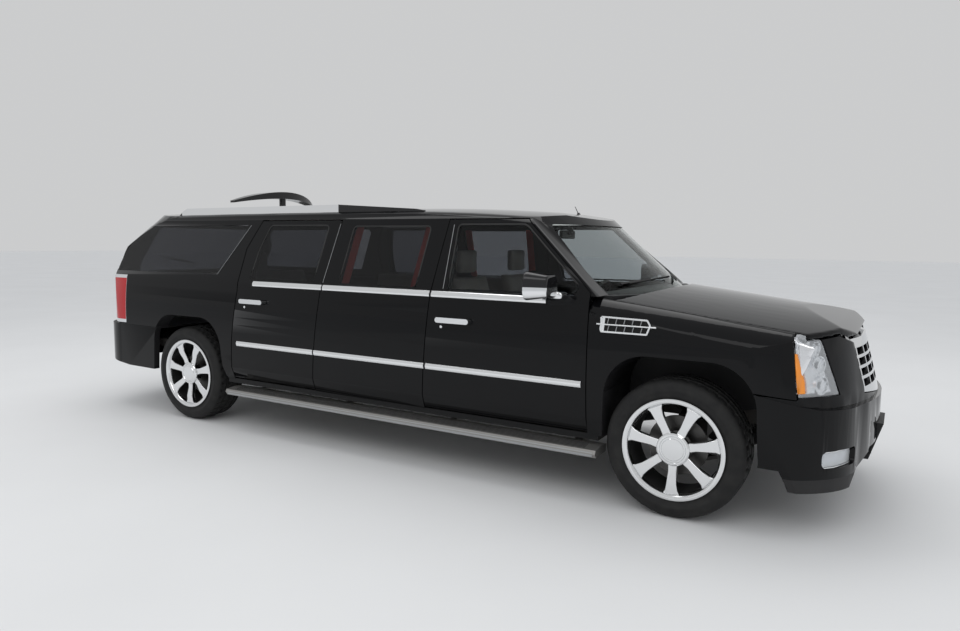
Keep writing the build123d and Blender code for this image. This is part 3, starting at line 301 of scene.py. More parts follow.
def join(pieces, name):
    """Make one piece of several."""
    clear_selection()
    for piece in pieces:
        piece.select_set(True)
    bpy.context.view_layer.objects.active = pieces[0]
    bpy.ops.object.join()
    pieces[0].name = name
    return pieces[0]


def strike(piece, start, direction):
    """Where a ray first meets a piece that stands at the origin."""
    mesh = piece.data
    corners = [vertex.co for vertex in mesh.vertices]
    tree = BVHTree.FromPolygons(corners, [face.vertices for face in mesh.polygons])
    return tree.ray_cast(Vector(start), Vector(direction))[0]


def smooth_copy(node, name, bevel):
    """A merged, smooth and edge-rounded copy of a CAD node."""
    piece = copy_of(nodes[node], name)
    edit(piece)
    bpy.ops.mesh.remove_doubles(threshold=NODE_MERGE)
    bpy.ops.mesh.dissolve_limited(angle_limit=math.radians(0.2))
    close()
    return soften(piece, bevel, angle=30)


def cut_across(piece, points, normal):
    """Split a piece's faces along planes through some points, so that each side can take its own finish."""
    edit(piece)
    for point in points:
        bpy.ops.mesh.select_all(action="SELECT")
        bpy.ops.mesh.bisect(plane_co=point, plane_no=normal)
    close()


def wiper(name, foot, tip, outward, arm, blade):
    """A wiper from foot to tip.

    arm is (half width, tail behind the foot, share of the length, depth), blade (start, depth, shift aside).
    """
    half, tail, reach, arm_depth = arm
    start, blade_depth, shift = blade
    along = (tip - foot).normalized()
    across = along.cross(Vector(outward)).normalized()
    length = (tip - foot).length
    outline = ((-half, -tail), (-0.005, length * reach), (0.005, length * reach), (half, -tail))
    made = prism(name, outline, arm_depth, foot, across, along, bevel=0.002)
    outline = ((-0.004, length * start), (-0.003, length), (0.004, length), (0.004, length * start))
    rubber = prism("blade", outline, blade_depth, foot + across * shift, across, along)
    return join([made, rubber], name)


# Finishing helpers
MATERIALS = {}


def dress(piece, finish, body="root", replaces=()):
    """Give a piece its finish, its body and the nodes that it stands for."""
    piece.data.materials.clear()
    piece.data.materials.append(MATERIALS[finish])
    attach(piece, body)
    if replaces:
        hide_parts(*replaces)
    return piece


def on_both_sides(piece, finish, body="root", replaces=()):
    """Dress a right-hand piece and its mirror image, named, ridden and replacing by their side."""
    name = piece.name
    left = mirrored(piece, f"{name}_left")
    piece.name = f"{name}_right"
    for side, made in (("right", piece), ("left", left)):
        carrier = body if body == "root" else f"{body}_{side}"
        dress(made, finish, carrier, [f"{node}_{side}" for node in replaces])
    return piece, left


def paint_faces(piece, finish, test):
    """Give the faces that pass a test of centre and normal a second finish."""
    piece.data.materials.append(MATERIALS[finish])
    index = len(piece.data.materials) - 1
    for face in piece.data.polygons:
        if test(face.center, face.normal):
            face.material_index = index


# Materials
GROUPS = {}

# Sockets of a colour Mix node: both colours and the result
MIX_FROM, MIX_TO, MIX_RESULT = 6, 7, 2


def add_node(tree, kind, values=None, **settings):
    """Add a shader node with its settings and the values of its inputs."""
    node = tree.nodes.new(f"ShaderNode{kind}")
    for key, value in settings.items():
        setattr(node, key, value)
    for key, value in (values or {}).items():
        node.inputs[key].default_value = value
    return node


def wire(tree, *pairs):
    """Link sockets, each pair from output to input."""
    for source, target in pairs:
        tree.links.new(source, target)


def new_group(name, inputs, output):
    """A shader node group with named inputs and one output."""
    group = bpy.data.node_groups.new(name, "ShaderNodeTree")
    for label, value in inputs:
        socket = group.interface.new_socket(name=label, in_out="INPUT", socket_type="NodeSocketFloat")
        socket.default_value = value
    group.interface.new_socket(name=output, in_out="OUTPUT", socket_type="NodeSocketFloat")
    return group, group.nodes.new("NodeGroupInput"), group.nodes.new("NodeGroupOutput")


def grain_group():
    """Fine random height, as on moulded plastic, rubber and leather."""
    group, given, out = new_group("grain", (("Scale", 400.0), ("Detail", 3.0)), "Height")
    place = add_node(group, "TexCoord")
    noise = add_node(group, "TexNoise")
    wire(group,
         (place.outputs["Object"], noise.inputs["Vector"]),
         (given.outputs["Scale"], noise.inputs["Scale"]),
         (given.outputs["Detail"], noise.inputs["Detail"]),
         (noise.outputs["Fac"], out.inputs["Height"]))
    return group


def dust_group():
    """Road dust that thickens towards the ground, in soft patches."""
    group, given, out = new_group("road_dust", (("Top", 0.9), ("Amount", 0.3), ("Patches", 6.0)), "Mask")
    place = add_node(group, "TexCoord")
    split = add_node(group, "SeparateXYZ")
    noise = add_node(group, "TexNoise", {"Detail": 6})
    fade = add_node(group, "MapRange", {"From Min": 0.15, "To Min": 1, "To Max": 0.04})
    spread = add_node(group, "Math", operation="MULTIPLY")
    scaled = add_node(group, "Math", operation="MULTIPLY")
    wire(group,
         (place.outputs["Object"], split.inputs["Vector"]),
         (place.outputs["Object"], noise.inputs["Vector"]),
         (given.outputs["Patches"], noise.inputs["Scale"]),
         (split.outputs["Z"], fade.inputs["Value"]),
         (given.outputs["Top"], fade.inputs["From Max"]),
         (fade.outputs["Result"], spread.inputs[0]),
         (noise.outputs["Fac"], spread.inputs[1]),
         (spread.outputs["Value"], scaled.inputs[0]),
         (given.outputs["Amount"], scaled.inputs[1]),
         (scaled.outputs["Value"], out.inputs["Mask"]))
    return group


class Finish:
    """A material under construction: a Principled shader with constant sockets, and effects added to it."""

    def __init__(self, name, colour, roughness, **sockets):
        material = bpy.data.materials.new(name)
        material.use_nodes = True
        self.tree = material.node_tree
        self.shader = self.tree.nodes["Principled BSDF"]
        self.colour = colour
        self.roughness = roughness
        self.shader.inputs["Base Color"].default_value = (*colour, 1)
        self.shader.inputs["Roughness"].default_value = roughness
        for key, value in sockets.items():
            self.shader.inputs[key.replace("_", " ")].default_value = value
        MATERIALS[name] = material

    def group(self, name, **values):
        """Place a shared effect with its own values."""
        if not GROUPS:
            GROUPS["grain"] = grain_group()
            GROUPS["dust"] = dust_group()
        return add_node(self.tree, "Group", values, node_tree=GROUPS[name])

    def blend(self, other, share):
        """Blend the base colour towards another one, by a socket's share."""
        base = self.shader.inputs["Base Color"]
        mix = add_node(self.tree, "Mix", data_type="RGBA")
        mix.inputs[MIX_FROM].default_value = (*self.colour, 1)
        mix.inputs[MIX_TO].default_value = (*other, 1)
        if base.links:
            self.tree.links.new(base.links[0].from_socket, mix.inputs[MIX_FROM])
        wire(self.tree, (share, mix.inputs[0]), (mix.outputs[MIX_RESULT], base))

    def grained(self, scale, strength, distance=0.0004):
        """Fine bumps."""
        grain = self.group("grain", Scale=scale, Detail=3.0)
        bump = add_node(self.tree, "Bump", {"Strength": strength, "Distance": distance})
        wire(self.tree, (grain.outputs["Height"], bump.inputs["Height"]),
             (bump.outputs["Normal"], self.shader.inputs["Normal"]))
        return self

    def mottled(self, other, scale, low=0.35, high=0.65):
        """Soft variation towards a second colour."""
        grain = self.group("grain", Scale=scale, Detail=4.0)
        ramp = add_node(self.tree, "MapRange", {"From Min": low, "From Max": high})
        self.tree.links.new(grain.outputs["Height"], ramp.inputs["Value"])
        self.blend(other, ramp.outputs["Result"])
        return self

    def dusty(self, amount, top=0.9, patches=6.0, colour=(0.42, 0.38, 0.33), rough=0.75):
        """Road dust near the ground, on colour and roughness."""
        dust = self.group("dust", Amount=amount, Top=top, Patches=patches)
        rougher = add_node(self.tree, "MapRange", {"To Min": self.roughness, "To Max": rough})
        self.blend(colour, dust.outputs["Mask"])
        wire(self.tree, (dust.outputs["Mask"], rougher.inputs["Value"]),
             (rougher.outputs["Result"], self.shader.inputs["Roughness"]))
        return self


def make_materials(looks):
    """Every finish of the vehicle and its floor."""
    dark_dust = (0.16, 0.15, 0.14)
    # Paint, bright metal and rubber
    Finish("black_paint", tuple(looks.paint), 0.045, IOR=1.29).grained(1100, 0.015, 0.00008).dusty(
        0.03, 1.0, 5.0, (0.10, 0.09, 0.08), 0.3)
    Finish("bright_chrome", (0.86, 0.87, 0.88), 0.06, Metallic=1.0).grained(60, 0.015, 0.0002)
    Finish("wheel_chrome", (0.82, 0.83, 0.84), 0.08, Metallic=1.0).grained(40, 0.02, 0.0003).dusty(
        0.10, 0.9, 14.0)
    Finish("satin_metal", (0.42, 0.43, 0.44), 0.32, Metallic=1.0).grained(300, 0.08, 0.0002)
    Finish("step_silver", (0.30, 0.295, 0.285), 0.38, Metallic=0.75).grained(260, 0.25, 0.0004).dusty(
        0.25, 0.6, 7.0, (0.30, 0.27, 0.23))
    Finish("tread_rubber", (0.009, 0.009, 0.0095), 0.66, IOR=1.35).grained(260, 0.35, 0.0006).mottled(
        (0.014, 0.014, 0.0135), 18).dusty(0.05, 0.95, 9.0, dark_dust)
    Finish("black_plastic", (0.010, 0.010, 0.011), 0.5, IOR=1.38).grained(520, 0.35, 0.0005).dusty(
        0.12, 0.9, 7.0, dark_dust)
    Finish("gloss_black", (0.005, 0.005, 0.006), 0.07).grained(700, 0.02, 0.0001)
    Finish("rubber_seal", (0.010, 0.010, 0.010), 0.55).grained(600, 0.3, 0.0003)
    Finish("void_black", (0.004, 0.004, 0.004), 0.9).grained(300, 0.3, 0.0006)
    # Inside
    Finish("interior_plastic", (0.035, 0.033, 0.032), 0.55).grained(420, 0.4, 0.0005)
    Finish("pale_leather", (0.60, 0.56, 0.50), 0.45).grained(240, 0.45, 0.0006).mottled((0.50, 0.46, 0.41), 9)
    Finish("headliner", (0.32, 0.30, 0.28), 0.9).grained(700, 0.4, 0.0005)
    Finish("red_velvet", (0.95, 0.14, 0.12), 0.75, Sheen_Weight=0.4).grained(500, 0.4, 0.0006)
    Finish("carpet", (0.05, 0.048, 0.047), 0.95).grained(500, 0.8, 0.002)
    # Below
    Finish("frame_black", (0.022, 0.021, 0.02), 0.62).grained(180, 0.3, 0.0008).mottled(
        (0.06, 0.045, 0.035), 6, 0.5, 0.8).dusty(0.3, 1.0, 4.0, (0.2, 0.18, 0.16))
    Finish("cast_iron", (0.20, 0.19, 0.18), 0.6, Metallic=0.7).grained(160, 0.5, 0.001).mottled(
        (0.16, 0.09, 0.055), 12, 0.5, 0.75)
    Finish("pipe_steel", (0.38, 0.35, 0.31), 0.4, Metallic=0.9).grained(90, 0.2, 0.0005).mottled(
        (0.22, 0.16, 0.11), 7, 0.45, 0.7)
    Finish("brake_disc", (0.10, 0.098, 0.095), 0.4, Metallic=1.0).grained(120, 0.2, 0.0005)
    # Glass, lamps and the plate
    Finish("clear_glass", (0.84, 0.89, 0.87), 0.0, Transmission_Weight=1.0, IOR=1.12)
    Finish("tinted_glass", (0.36, 0.38, 0.40), 0.0, Transmission_Weight=1.0, IOR=1.25)
    Finish("dark_glass", (0.115, 0.12, 0.135), 0.0, Transmission_Weight=1.0, IOR=1.3)
    Finish("side_tint", (0.24, 0.245, 0.26), 0.0, Transmission_Weight=1.0, IOR=1.3)
    Finish("lamp_lens", (0.90, 0.92, 0.94), 0.04, Transmission_Weight=0.72, IOR=1.15).grained(90, 0.10, 0.001)
    Finish("lamp_reflector", (0.85, 0.86, 0.88), 0.16, Metallic=1.0).grained(120, 0.25, 0.0012)
    Finish("amber_lens", (0.90, 0.30, 0.04), 0.15, IOR=1.4).grained(300, 0.2, 0.001)
    Finish("red_lens", (0.42, 0.008, 0.012), 0.05, IOR=1.45).grained(160, 0.12, 0.0006)
    Finish("mirror_glass", (0.75, 0.78, 0.80), 0.01, Metallic=1.0).grained(4, 0.005, 0.0001)
    Finish("blank_plate", (0.62, 0.62, 0.60), 0.35).grained(200, 0.1, 0.0003)
    Finish("floor", tuple(looks.floor), 0.75).grained(14, 0.05, 0.001).mottled(
        tuple(0.97 * c for c in looks.floor), 0.6)


class LimousineLooks(bpy.types.PropertyGroup):
    """Colours and light of the limousine."""

    paint: bpy.props.FloatVectorProperty(
        name="Paint", description="Colour of the body's paint", default=(0.0035, 0.0036, 0.0042), size=3,
        subtype="COLOR", min=0, max=1)
    floor: bpy.props.FloatVectorProperty(
        name="Floor", description="Colour of the studio's floor", default=(0.72, 0.72, 0.715), size=3,
        subtype="COLOR", min=0, max=1)
    lens: bpy.props.FloatProperty(
        name="Lens", description="Focal length of the camera", default=26.6, min=10, max=200,
        unit="CAMERA")
    panel_edge: bpy.props.FloatProperty(
        name="Panel edge", description="Rounding of the panels' edges", default=0.003, min=0, max=0.02,
        unit="LENGTH")


# Which finish each CAD node that stays takes
NODE_FINISHES = {
    "bright_chrome": ("front_handle_right", "front_handle_left", "rear_handle_right", "rear_handle_left"),
    "gloss_black": ("roof_antenna",),
    "clear_glass": ("windshield",),
    "tinted_glass": ("front_door_glass_right", "front_door_glass_left"),
    "side_tint": ("side_glass",),
    "dark_glass": ("rear_door_glass_right", "rear_door_glass_left", "tailgate_glass"),
    "step_silver": ("running_boards",),
    "black_plastic": ("cowl_panel",),
    "interior_plastic": ("dashboard", "steering_wheel"),
    "frame_black": ("chassis_frame", "fuel_tank", "front_suspension", "rear_axle"),
    "pipe_steel": ("exhaust",),
    "cast_iron": ("knuckle_right", "knuckle_left", "engine_block"),
}


class LIMO_OT_finishes(bpy.types.Operator):
    """Make every finish and give the CAD nodes theirs"""

    bl_idname = "limo.finishes"
    bl_label = "Finishes"

    def execute(self, context):
        make_materials(context.scene.limousine)
        for finish, names in NODE_FINISHES.items():
            for name in names:
                materials = nodes[name].data.materials
                materials.clear()
                materials.append(MATERIALS[finish])
        return {"FINISHED"}


# Painted panels: those fixed to the body, and those that are bodies of their own
FIXED_PANELS = (
    "roof_panel", "stretch_panels", "quarter_panels", "front_fenders", "front_bumper", "rear_bumper")
MOVING_PANELS = (
    "hood", "tailgate", "front_door_right", "front_door_left", "rear_door_right", "rear_door_left")


class LIMO_OT_panels(bpy.types.Operator):
    """Smooth the painted panels and round their edges"""

    bl_idname = "limo.panels"
    bl_label = "Painted panels"

    hood_voxel = 0.0074         # squares that the hood is rebuilt with, so that it shades evenly
    trim_depth = 0.03           # inner trim starts this far behind the skin
    headliner_z = 1.3           # and the headliner above this
    arch_reach = 0.66           # wheel arches end this far from the axle
    arch_top = 0.95
    arch_depth = 0.012          # and start this far behind the skin
    liner_y = 0.9               # all that lies further in than this is their liner
    skirt_z = 0.335             # the front bumper is unpainted below this
    bracket_x = 0.930           # the plate's bracket: from here ahead of the axle, so wide and up to here
    bracket_half = 0.17
    bracket_top = 0.54

    def is_trim(self, centre, normal):
        """Doors and side panels: a face that looks at the middle of the cabin."""
        return normal.y * math.copysign(1, centre.y) < -0.5 and within_skin(centre, self.trim_depth)

    def is_headliner(self, centre, normal):
        """Roof: a face inside it that looks down or along the cabin."""
        inward = normal.x * (1 if centre.x < 0 else -1)
        return centre.z > self.headliner_z and (normal.z < -0.35 or inward > 0.5) and within_skin(
            centre, self.trim_depth)

    def is_arch(self, centre, normal):
        """A face of a wheel arch or of the liner in it."""
        for wheel_x in (front_x, rear_x):
            aside, below = wheel_x - centre.x, tyre_radius - centre.z
            reach = math.hypot(aside, below)
            if reach < self.arch_reach and centre.z < self.arch_top and within_skin(centre, self.arch_depth):
                return aside * normal.x + below * normal.z > 0.1 * reach or abs(centre.y) < self.liner_y
        return False

    def is_front_plastic(self, centre, normal):
        """Front bumper: its skirt, and the plate's bracket in the middle."""
        return centre.z < self.skirt_z or (
            centre.x > front_x + self.bracket_x and abs(centre.y) < self.bracket_half
            and centre.z < self.bracket_top)

    def execute(self, context):
        edge = context.scene.limousine.panel_edge
        for node in FIXED_PANELS + MOVING_PANELS:
            panel = smooth_copy(node, f"{node}_skin", 0 if node == "hood" else edge)
            if node == "hood":
                soften(reskin(panel, self.hood_voxel, 10), 0, angle=45)
            dress(panel, "black_paint", "root" if node in FIXED_PANELS else node, (node,))
            if node == "front_bumper":
                cut_across(panel, [(0, 0, self.skirt_z)], UPWARDS)
                paint_faces(panel, "black_plastic", self.is_front_plastic)
            elif node == "rear_bumper":
                paint_faces(panel, "black_plastic", lambda centre, normal: normal.z > 0.9)
            elif node == "roof_panel":
                paint_faces(panel, "headliner", self.is_headliner)
            elif "door" in node or node in ("stretch_panels", "quarter_panels"):
                paint_faces(panel, "interior_plastic", self.is_trim)
            if node in ("quarter_panels", "front_fenders", "front_bumper", "rear_bumper"):
                paint_faces(panel, "black_plastic", self.is_arch)
        return {"FINISHED"}


class LIMO_OT_wheels(bpy.types.Operator):
    """Tyres with ribbed tread and seven-spoke chrome wheels with blank hub caps"""

    bl_idname = "limo.wheels"
    bl_label = "Wheels"

    tyre_steps = 160
    tread_radius = 0.402        # sipes are pressed into what lies outside this
    spokes = 7
    spoke_depth = 0.036
    dish = 0.010                # how far the spokes' inner ends lie behind their outer ones
    dish_radius = 0.14
    barrel_shade_radii = (0.240, 0.2635)     # radii between which the barrel is painted flat black as painted shade, as far out as the reach on the next line
    barrel_shade_reach = 0.102

    def tyre(self, centre):
        """A tyre's closed section turned about its axle, with sipes pressed into the ribs."""
        shoulder = ((0.283, 0.116), (0.290, 0.118), (0.300, 0.130), (0.318, 0.1385), (0.333, 0.1405),
                    (0.336, 0.1423), (0.350, 0.1423), (0.353, 0.1405), (0.368, 0.1385), (0.386, 0.130),
                    (0.397, 0.119), (0.4035, 0.106))
        ribs = ((0.4058, 0.094), (0.4065, 0.067), (0.3985, 0.0645), (0.3985, 0.055), (0.4068, 0.0525),
                (0.4073, 0.009), (0.3990, 0.0065))
        half = shoulder + ribs
        profile = half + tuple((radius, -height) for radius, height in reversed(half)) + (half[0],)
        piece = lathe("tyre", profile, steps=self.tyre_steps, angle=32)
        step = 360 / self.tyre_steps
        # each row of sipes: from and to how far off the middle, one in every so many steps, and how deep
        for low, high, every, press in ((0.070, 0.112, 4, -0.0065), (0.015, 0.050, 5, -0.0045)):
            def in_sipe(face):
                c = face.center
                turn = math.degrees(math.atan2(c.z, c.x)) % 360
                shift = 2 if c.y > 0 else 0
                return low < abs(c.y) < high and math.hypot(c.x, c.z) > self.tread_radius and (
                    int(turn / step + shift) % every == 0)

            pick(piece, "polygons", in_sipe)
            bpy.ops.mesh.extrude_region_shrink_fatten(TRANSFORM_OT_shrink_fatten={"value": press})
        close()
        return set_down(piece, centre)

    def rim(self, centre):
        """Barrel with a polished lip, flared spokes and a blank hub cap; outward is -Y."""
        barrel = ((0.2955, -0.1235), (0.2958, -0.1400), (0.290, -0.1416), (0.280, -0.1410), (0.271, -0.1375),
                  (0.2655, -0.1310), (0.2620, -0.1200), (0.258, -0.104), (0.254, -0.050), (0.250, 0.050),
                  (0.262, 0.100), (0.286, 0.112), (0.293, 0.117), (0.295, 0.104), (0.270, 0.086),
                  (0.260, 0.048), (0.266, -0.050), (0.286, -0.096), (0.2955, -0.1235))
        hub = ((POLE, -0.1335), (0.035, -0.1332), (0.062, -0.1315), (0.066, -0.1275), (0.074, -0.1270),
               (0.078, -0.1315), (0.088, -0.1305), (0.0955, -0.1245), (0.0985, -0.1150), (0.1000, -0.1080),
               (0.1000, -0.070), (POLE, -0.070))
        flank = ((0.060, 0.0280), (0.130, 0.0250), (0.200, 0.0290), (0.240, 0.0360), (0.2640, 0.0500))
        outline = flank + tuple((along, -aside) for along, aside in reversed(flank))
        parts = [lathe("rim", barrel, steps=128, angle=28)]
        for count in range(self.spokes):
            spoke = prism("spoke", outline, self.spoke_depth, (0, -0.092, 0))
            pick(spoke, "vertices", lambda vertex: vertex.co.x < self.dish_radius)
            bpy.ops.transform.translate(value=(0, self.dish, 0))
            close()
            soften(spoke, 0.0065, 3, 30)
            parts.append(set_down(spoke, (0, 0, 0), 90 + count * 360 / self.spokes, 1))
        parts.append(lathe("hub", hub, angle=30))
        return set_down(join(parts, "rim"), centre)

    def brake_disc(self, centre):
        """A plain disc with its bell."""
        profile = ((0.040, -0.012), (0.176, -0.012), (0.176, 0.002), (0.150, 0.002), (0.150, 0.014),
                   (0.105, 0.026), (0.040, 0.026), (0.040, -0.012))
        return lathe("disc", profile, centre)

    def execute(self, context):
        inner, outer = self.barrel_shade_radii
        for name, finish, slot, make in (
            ("tyre", "tread_rubber", "tyre", self.tyre),
            ("rim", "wheel_chrome", "wheel_chrome", self.rim),
            ("brake_disc", "brake_disc", None, self.brake_disc),
        ):
            front = make(front_wheel)
            front.name = f"front_{name}_piece"
            rear = moved(front, f"rear_{name}_piece", (rear_x - front_x, 0, 0))
            for where, x, piece in (("front", front_x, front), ("rear", rear_x, rear)):
                stands_for = () if name == "brake_disc" else (f"{where}_{name}",)
                pair = on_both_sides(piece, finish, f"{where}_wheel", stands_for)
                # painted shade: the barrel's inside behind the spokes is painted flat black where the chrome
                # lies in shade
                for made in pair if name == "rim" else ():
                    paint_faces(made, "void_black", lambda at, normal: (
                        abs(at.y) < abs(front_wheel.y) + self.barrel_shade_reach
                        and inner < math.hypot(at.x - x, at.z - tyre_radius) < outer))
        return {"FINISHED"}


# Chrome strips along the sides: name, body, low and high edge, rear and front end from the front axle
STRIPS = (
    ("belt_front", "front_door", 1.206, 1.246, -1.677, -0.815),
    ("belt_stretch", "root", 1.206, 1.246, -2.668, -1.692),
    ("belt_rear", "rear_door", 1.206, 1.246, -3.420, -2.680),
    ("low_front", "front_door", 0.708, 0.748, -1.708, -0.562),
    ("low_stretch", "root", 0.708, 0.748, -2.745, -1.724),
    ("low_rear", "rear_door", 0.708, 0.748, -3.601, -2.757),
)


class LIMO_OT_strips(bpy.types.Operator):
    """Chrome mouldings along the doors and the stretch panels"""

    bl_idname = "limo.strips"
    bl_label = "Chrome strips"

    def execute(self, context):
        for name, body, low, high, back, ahead in STRIPS:
            crown = (low + high) / 2
            # each point: its height, and how far it stands off the skin there
            profile = ((low, -0.004), (low, 0.004), (low + 0.008, 0.008), (crown, 0.010),
                       (high - 0.008, 0.008), (high, 0.004), (high, -0.004))
            section = [(-(skin_y(z) + off), z) for z, off in profile]
            strip = along_x(name, section, front_x + back, ahead - back, 0.0015)
            on_both_sides(strip, "bright_chrome", body)
        return {"FINISHED"}


class LIMO_OT_vents(bpy.types.Operator):
    """Chrome vents behind the front wheels, with slots round a middle bar and a flat black sheet behind them
    as painted shade
    """

    bl_idname = "limo.vents"
    bl_label = "Fender vents"

    z = 1.104
    fins_a_row = 5
    fin_pitch = 0.050

    def execute(self, context):
        z = self.z
        low_x, high_x = front_x - 0.452, front_x - 0.142
        skin = -skin_y(z)
        base = (0, skin + 0.004, 0)
        outline = ((low_x + 0.006, z - 0.048), (low_x, z - 0.030), (low_x + 0.010, z + 0.050),
                   (high_x - 0.020, z + 0.044), (high_x, z + 0.010), (high_x - 0.022, z - 0.048))
        # painted shade: a flat black sheet behind the slots, where the openings lie in shade
        back = prism("vent_back", outline, 0.010, (0, skin + 0.006, 0), corner=0.008)
        ring = prism("vent_ring", outline, 0.017, base, corner=0.008, hollow=0.010, bevel=0.002)
        bar = prism("vent_bar", ((low_x - 0.022, z - 0.004), (low_x - 0.022, z + 0.005),
                                 (high_x + 0.03, z + 0.005), (high_x + 0.03, z - 0.004)), 0.018, base,
                    bevel=0.003)
        plate = prism("vent_plate", ((low_x + 0.004, z - 0.040), (low_x + 0.002, z + 0.042),
                                     (low_x + 0.034, z + 0.040), (low_x + 0.026, z - 0.040)), 0.015, base,
                      bevel=0.003)
        fins = []
        for middle_z in (z - 0.025, z + 0.025):
            for count in range(self.fins_a_row):
                x = low_x + 0.052 + count * self.fin_pitch
                fins.append(prism("vent_fin", ((x - 0.008, middle_z - 0.019), (x - 0.004, middle_z - 0.019),
                                               (x + 0.006, middle_z + 0.019), (x + 0.002, middle_z + 0.019)),
                                  0.012, base))
        on_both_sides(back, "void_black")
        on_both_sides(join(fins, "vent_fins"), "satin_metal")
        vent = join([ring, bar, plate], "vent_frame")
        on_both_sides(vent, "bright_chrome")
        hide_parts("fender_vents")
        return {"FINISHED"}


class LIMO_OT_mirrors(bpy.types.Operator):
    """Door mirrors: dark cap, chrome lower half and arm, and the glass"""

    bl_idname = "limo.mirrors"
    bl_label = "Door mirrors"

    seam_z = 1.316

    def execute(self, context):
        shell = reskin(smooth_copy("door_mirror_right", "mirror_shell", 0), 0.005, 16)
        cut_across(shell, [(0, 0, self.seam_z)], UPWARDS)
        soften(shell, 0, angle=60)
        for made in on_both_sides(shell, "bright_chrome", "front_door", ("door_mirror",)):
            paint_faces(made, "gloss_black", lambda centre, normal: centre.z > self.seam_z)
        outer, inner, bottom, top = -1.198, -1.034, 1.262, 1.382
        rear_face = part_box("door_mirror_right")[0].x
        glass = prism("mirror_glass", ((outer, bottom), (inner, bottom), (inner, top), (outer, top)), 0.004,
                      (rear_face + 0.016, 0, 0), LEFTWARDS, UPWARDS, corner=0.038)
        on_both_sides(glass, "mirror_glass", "front_door")
        return {"FINISHED"}


class LIMO_OT_rails(bpy.types.Operator):
    """Roof rails, bright in the middle and black at both ends, and a short whip aerial"""

    bl_idname = "limo.rails"
    bl_label = "Roof rails and whip aerial"

    def execute(self, context):
        ends = (rear_x - 0.345, front_x - 2.720)
        rails = copy_of(nodes["roof_rails"], "rails")
        repair(rails)
        cut_across(rails, [(x, 0, 0) for x in ends], FORWARDS)
        soften(rails, 0.007, 3, 30)
        dress(rails, "bright_chrome", replaces=("roof_rails",))
        paint_faces(rails, "gloss_black", lambda centre, normal: not ends[0] < centre.x < ends[1])
        whip = lathe("roof_whip", ((POLE, 0.075), (0.0022, 0.074), (0.0030, 0.022), (0.011, 0.014),
                                   (0.014, 0.0), (POLE, -0.004)), axis="Z", steps=24)
        foot = strike(nodes["roof_panel"], (front_x - 1.13, 0.25, 3), (0, 0, -1))
        dress(set_down(whip, foot, -28, 1), "gloss_black")
        return {"FINISHED"}


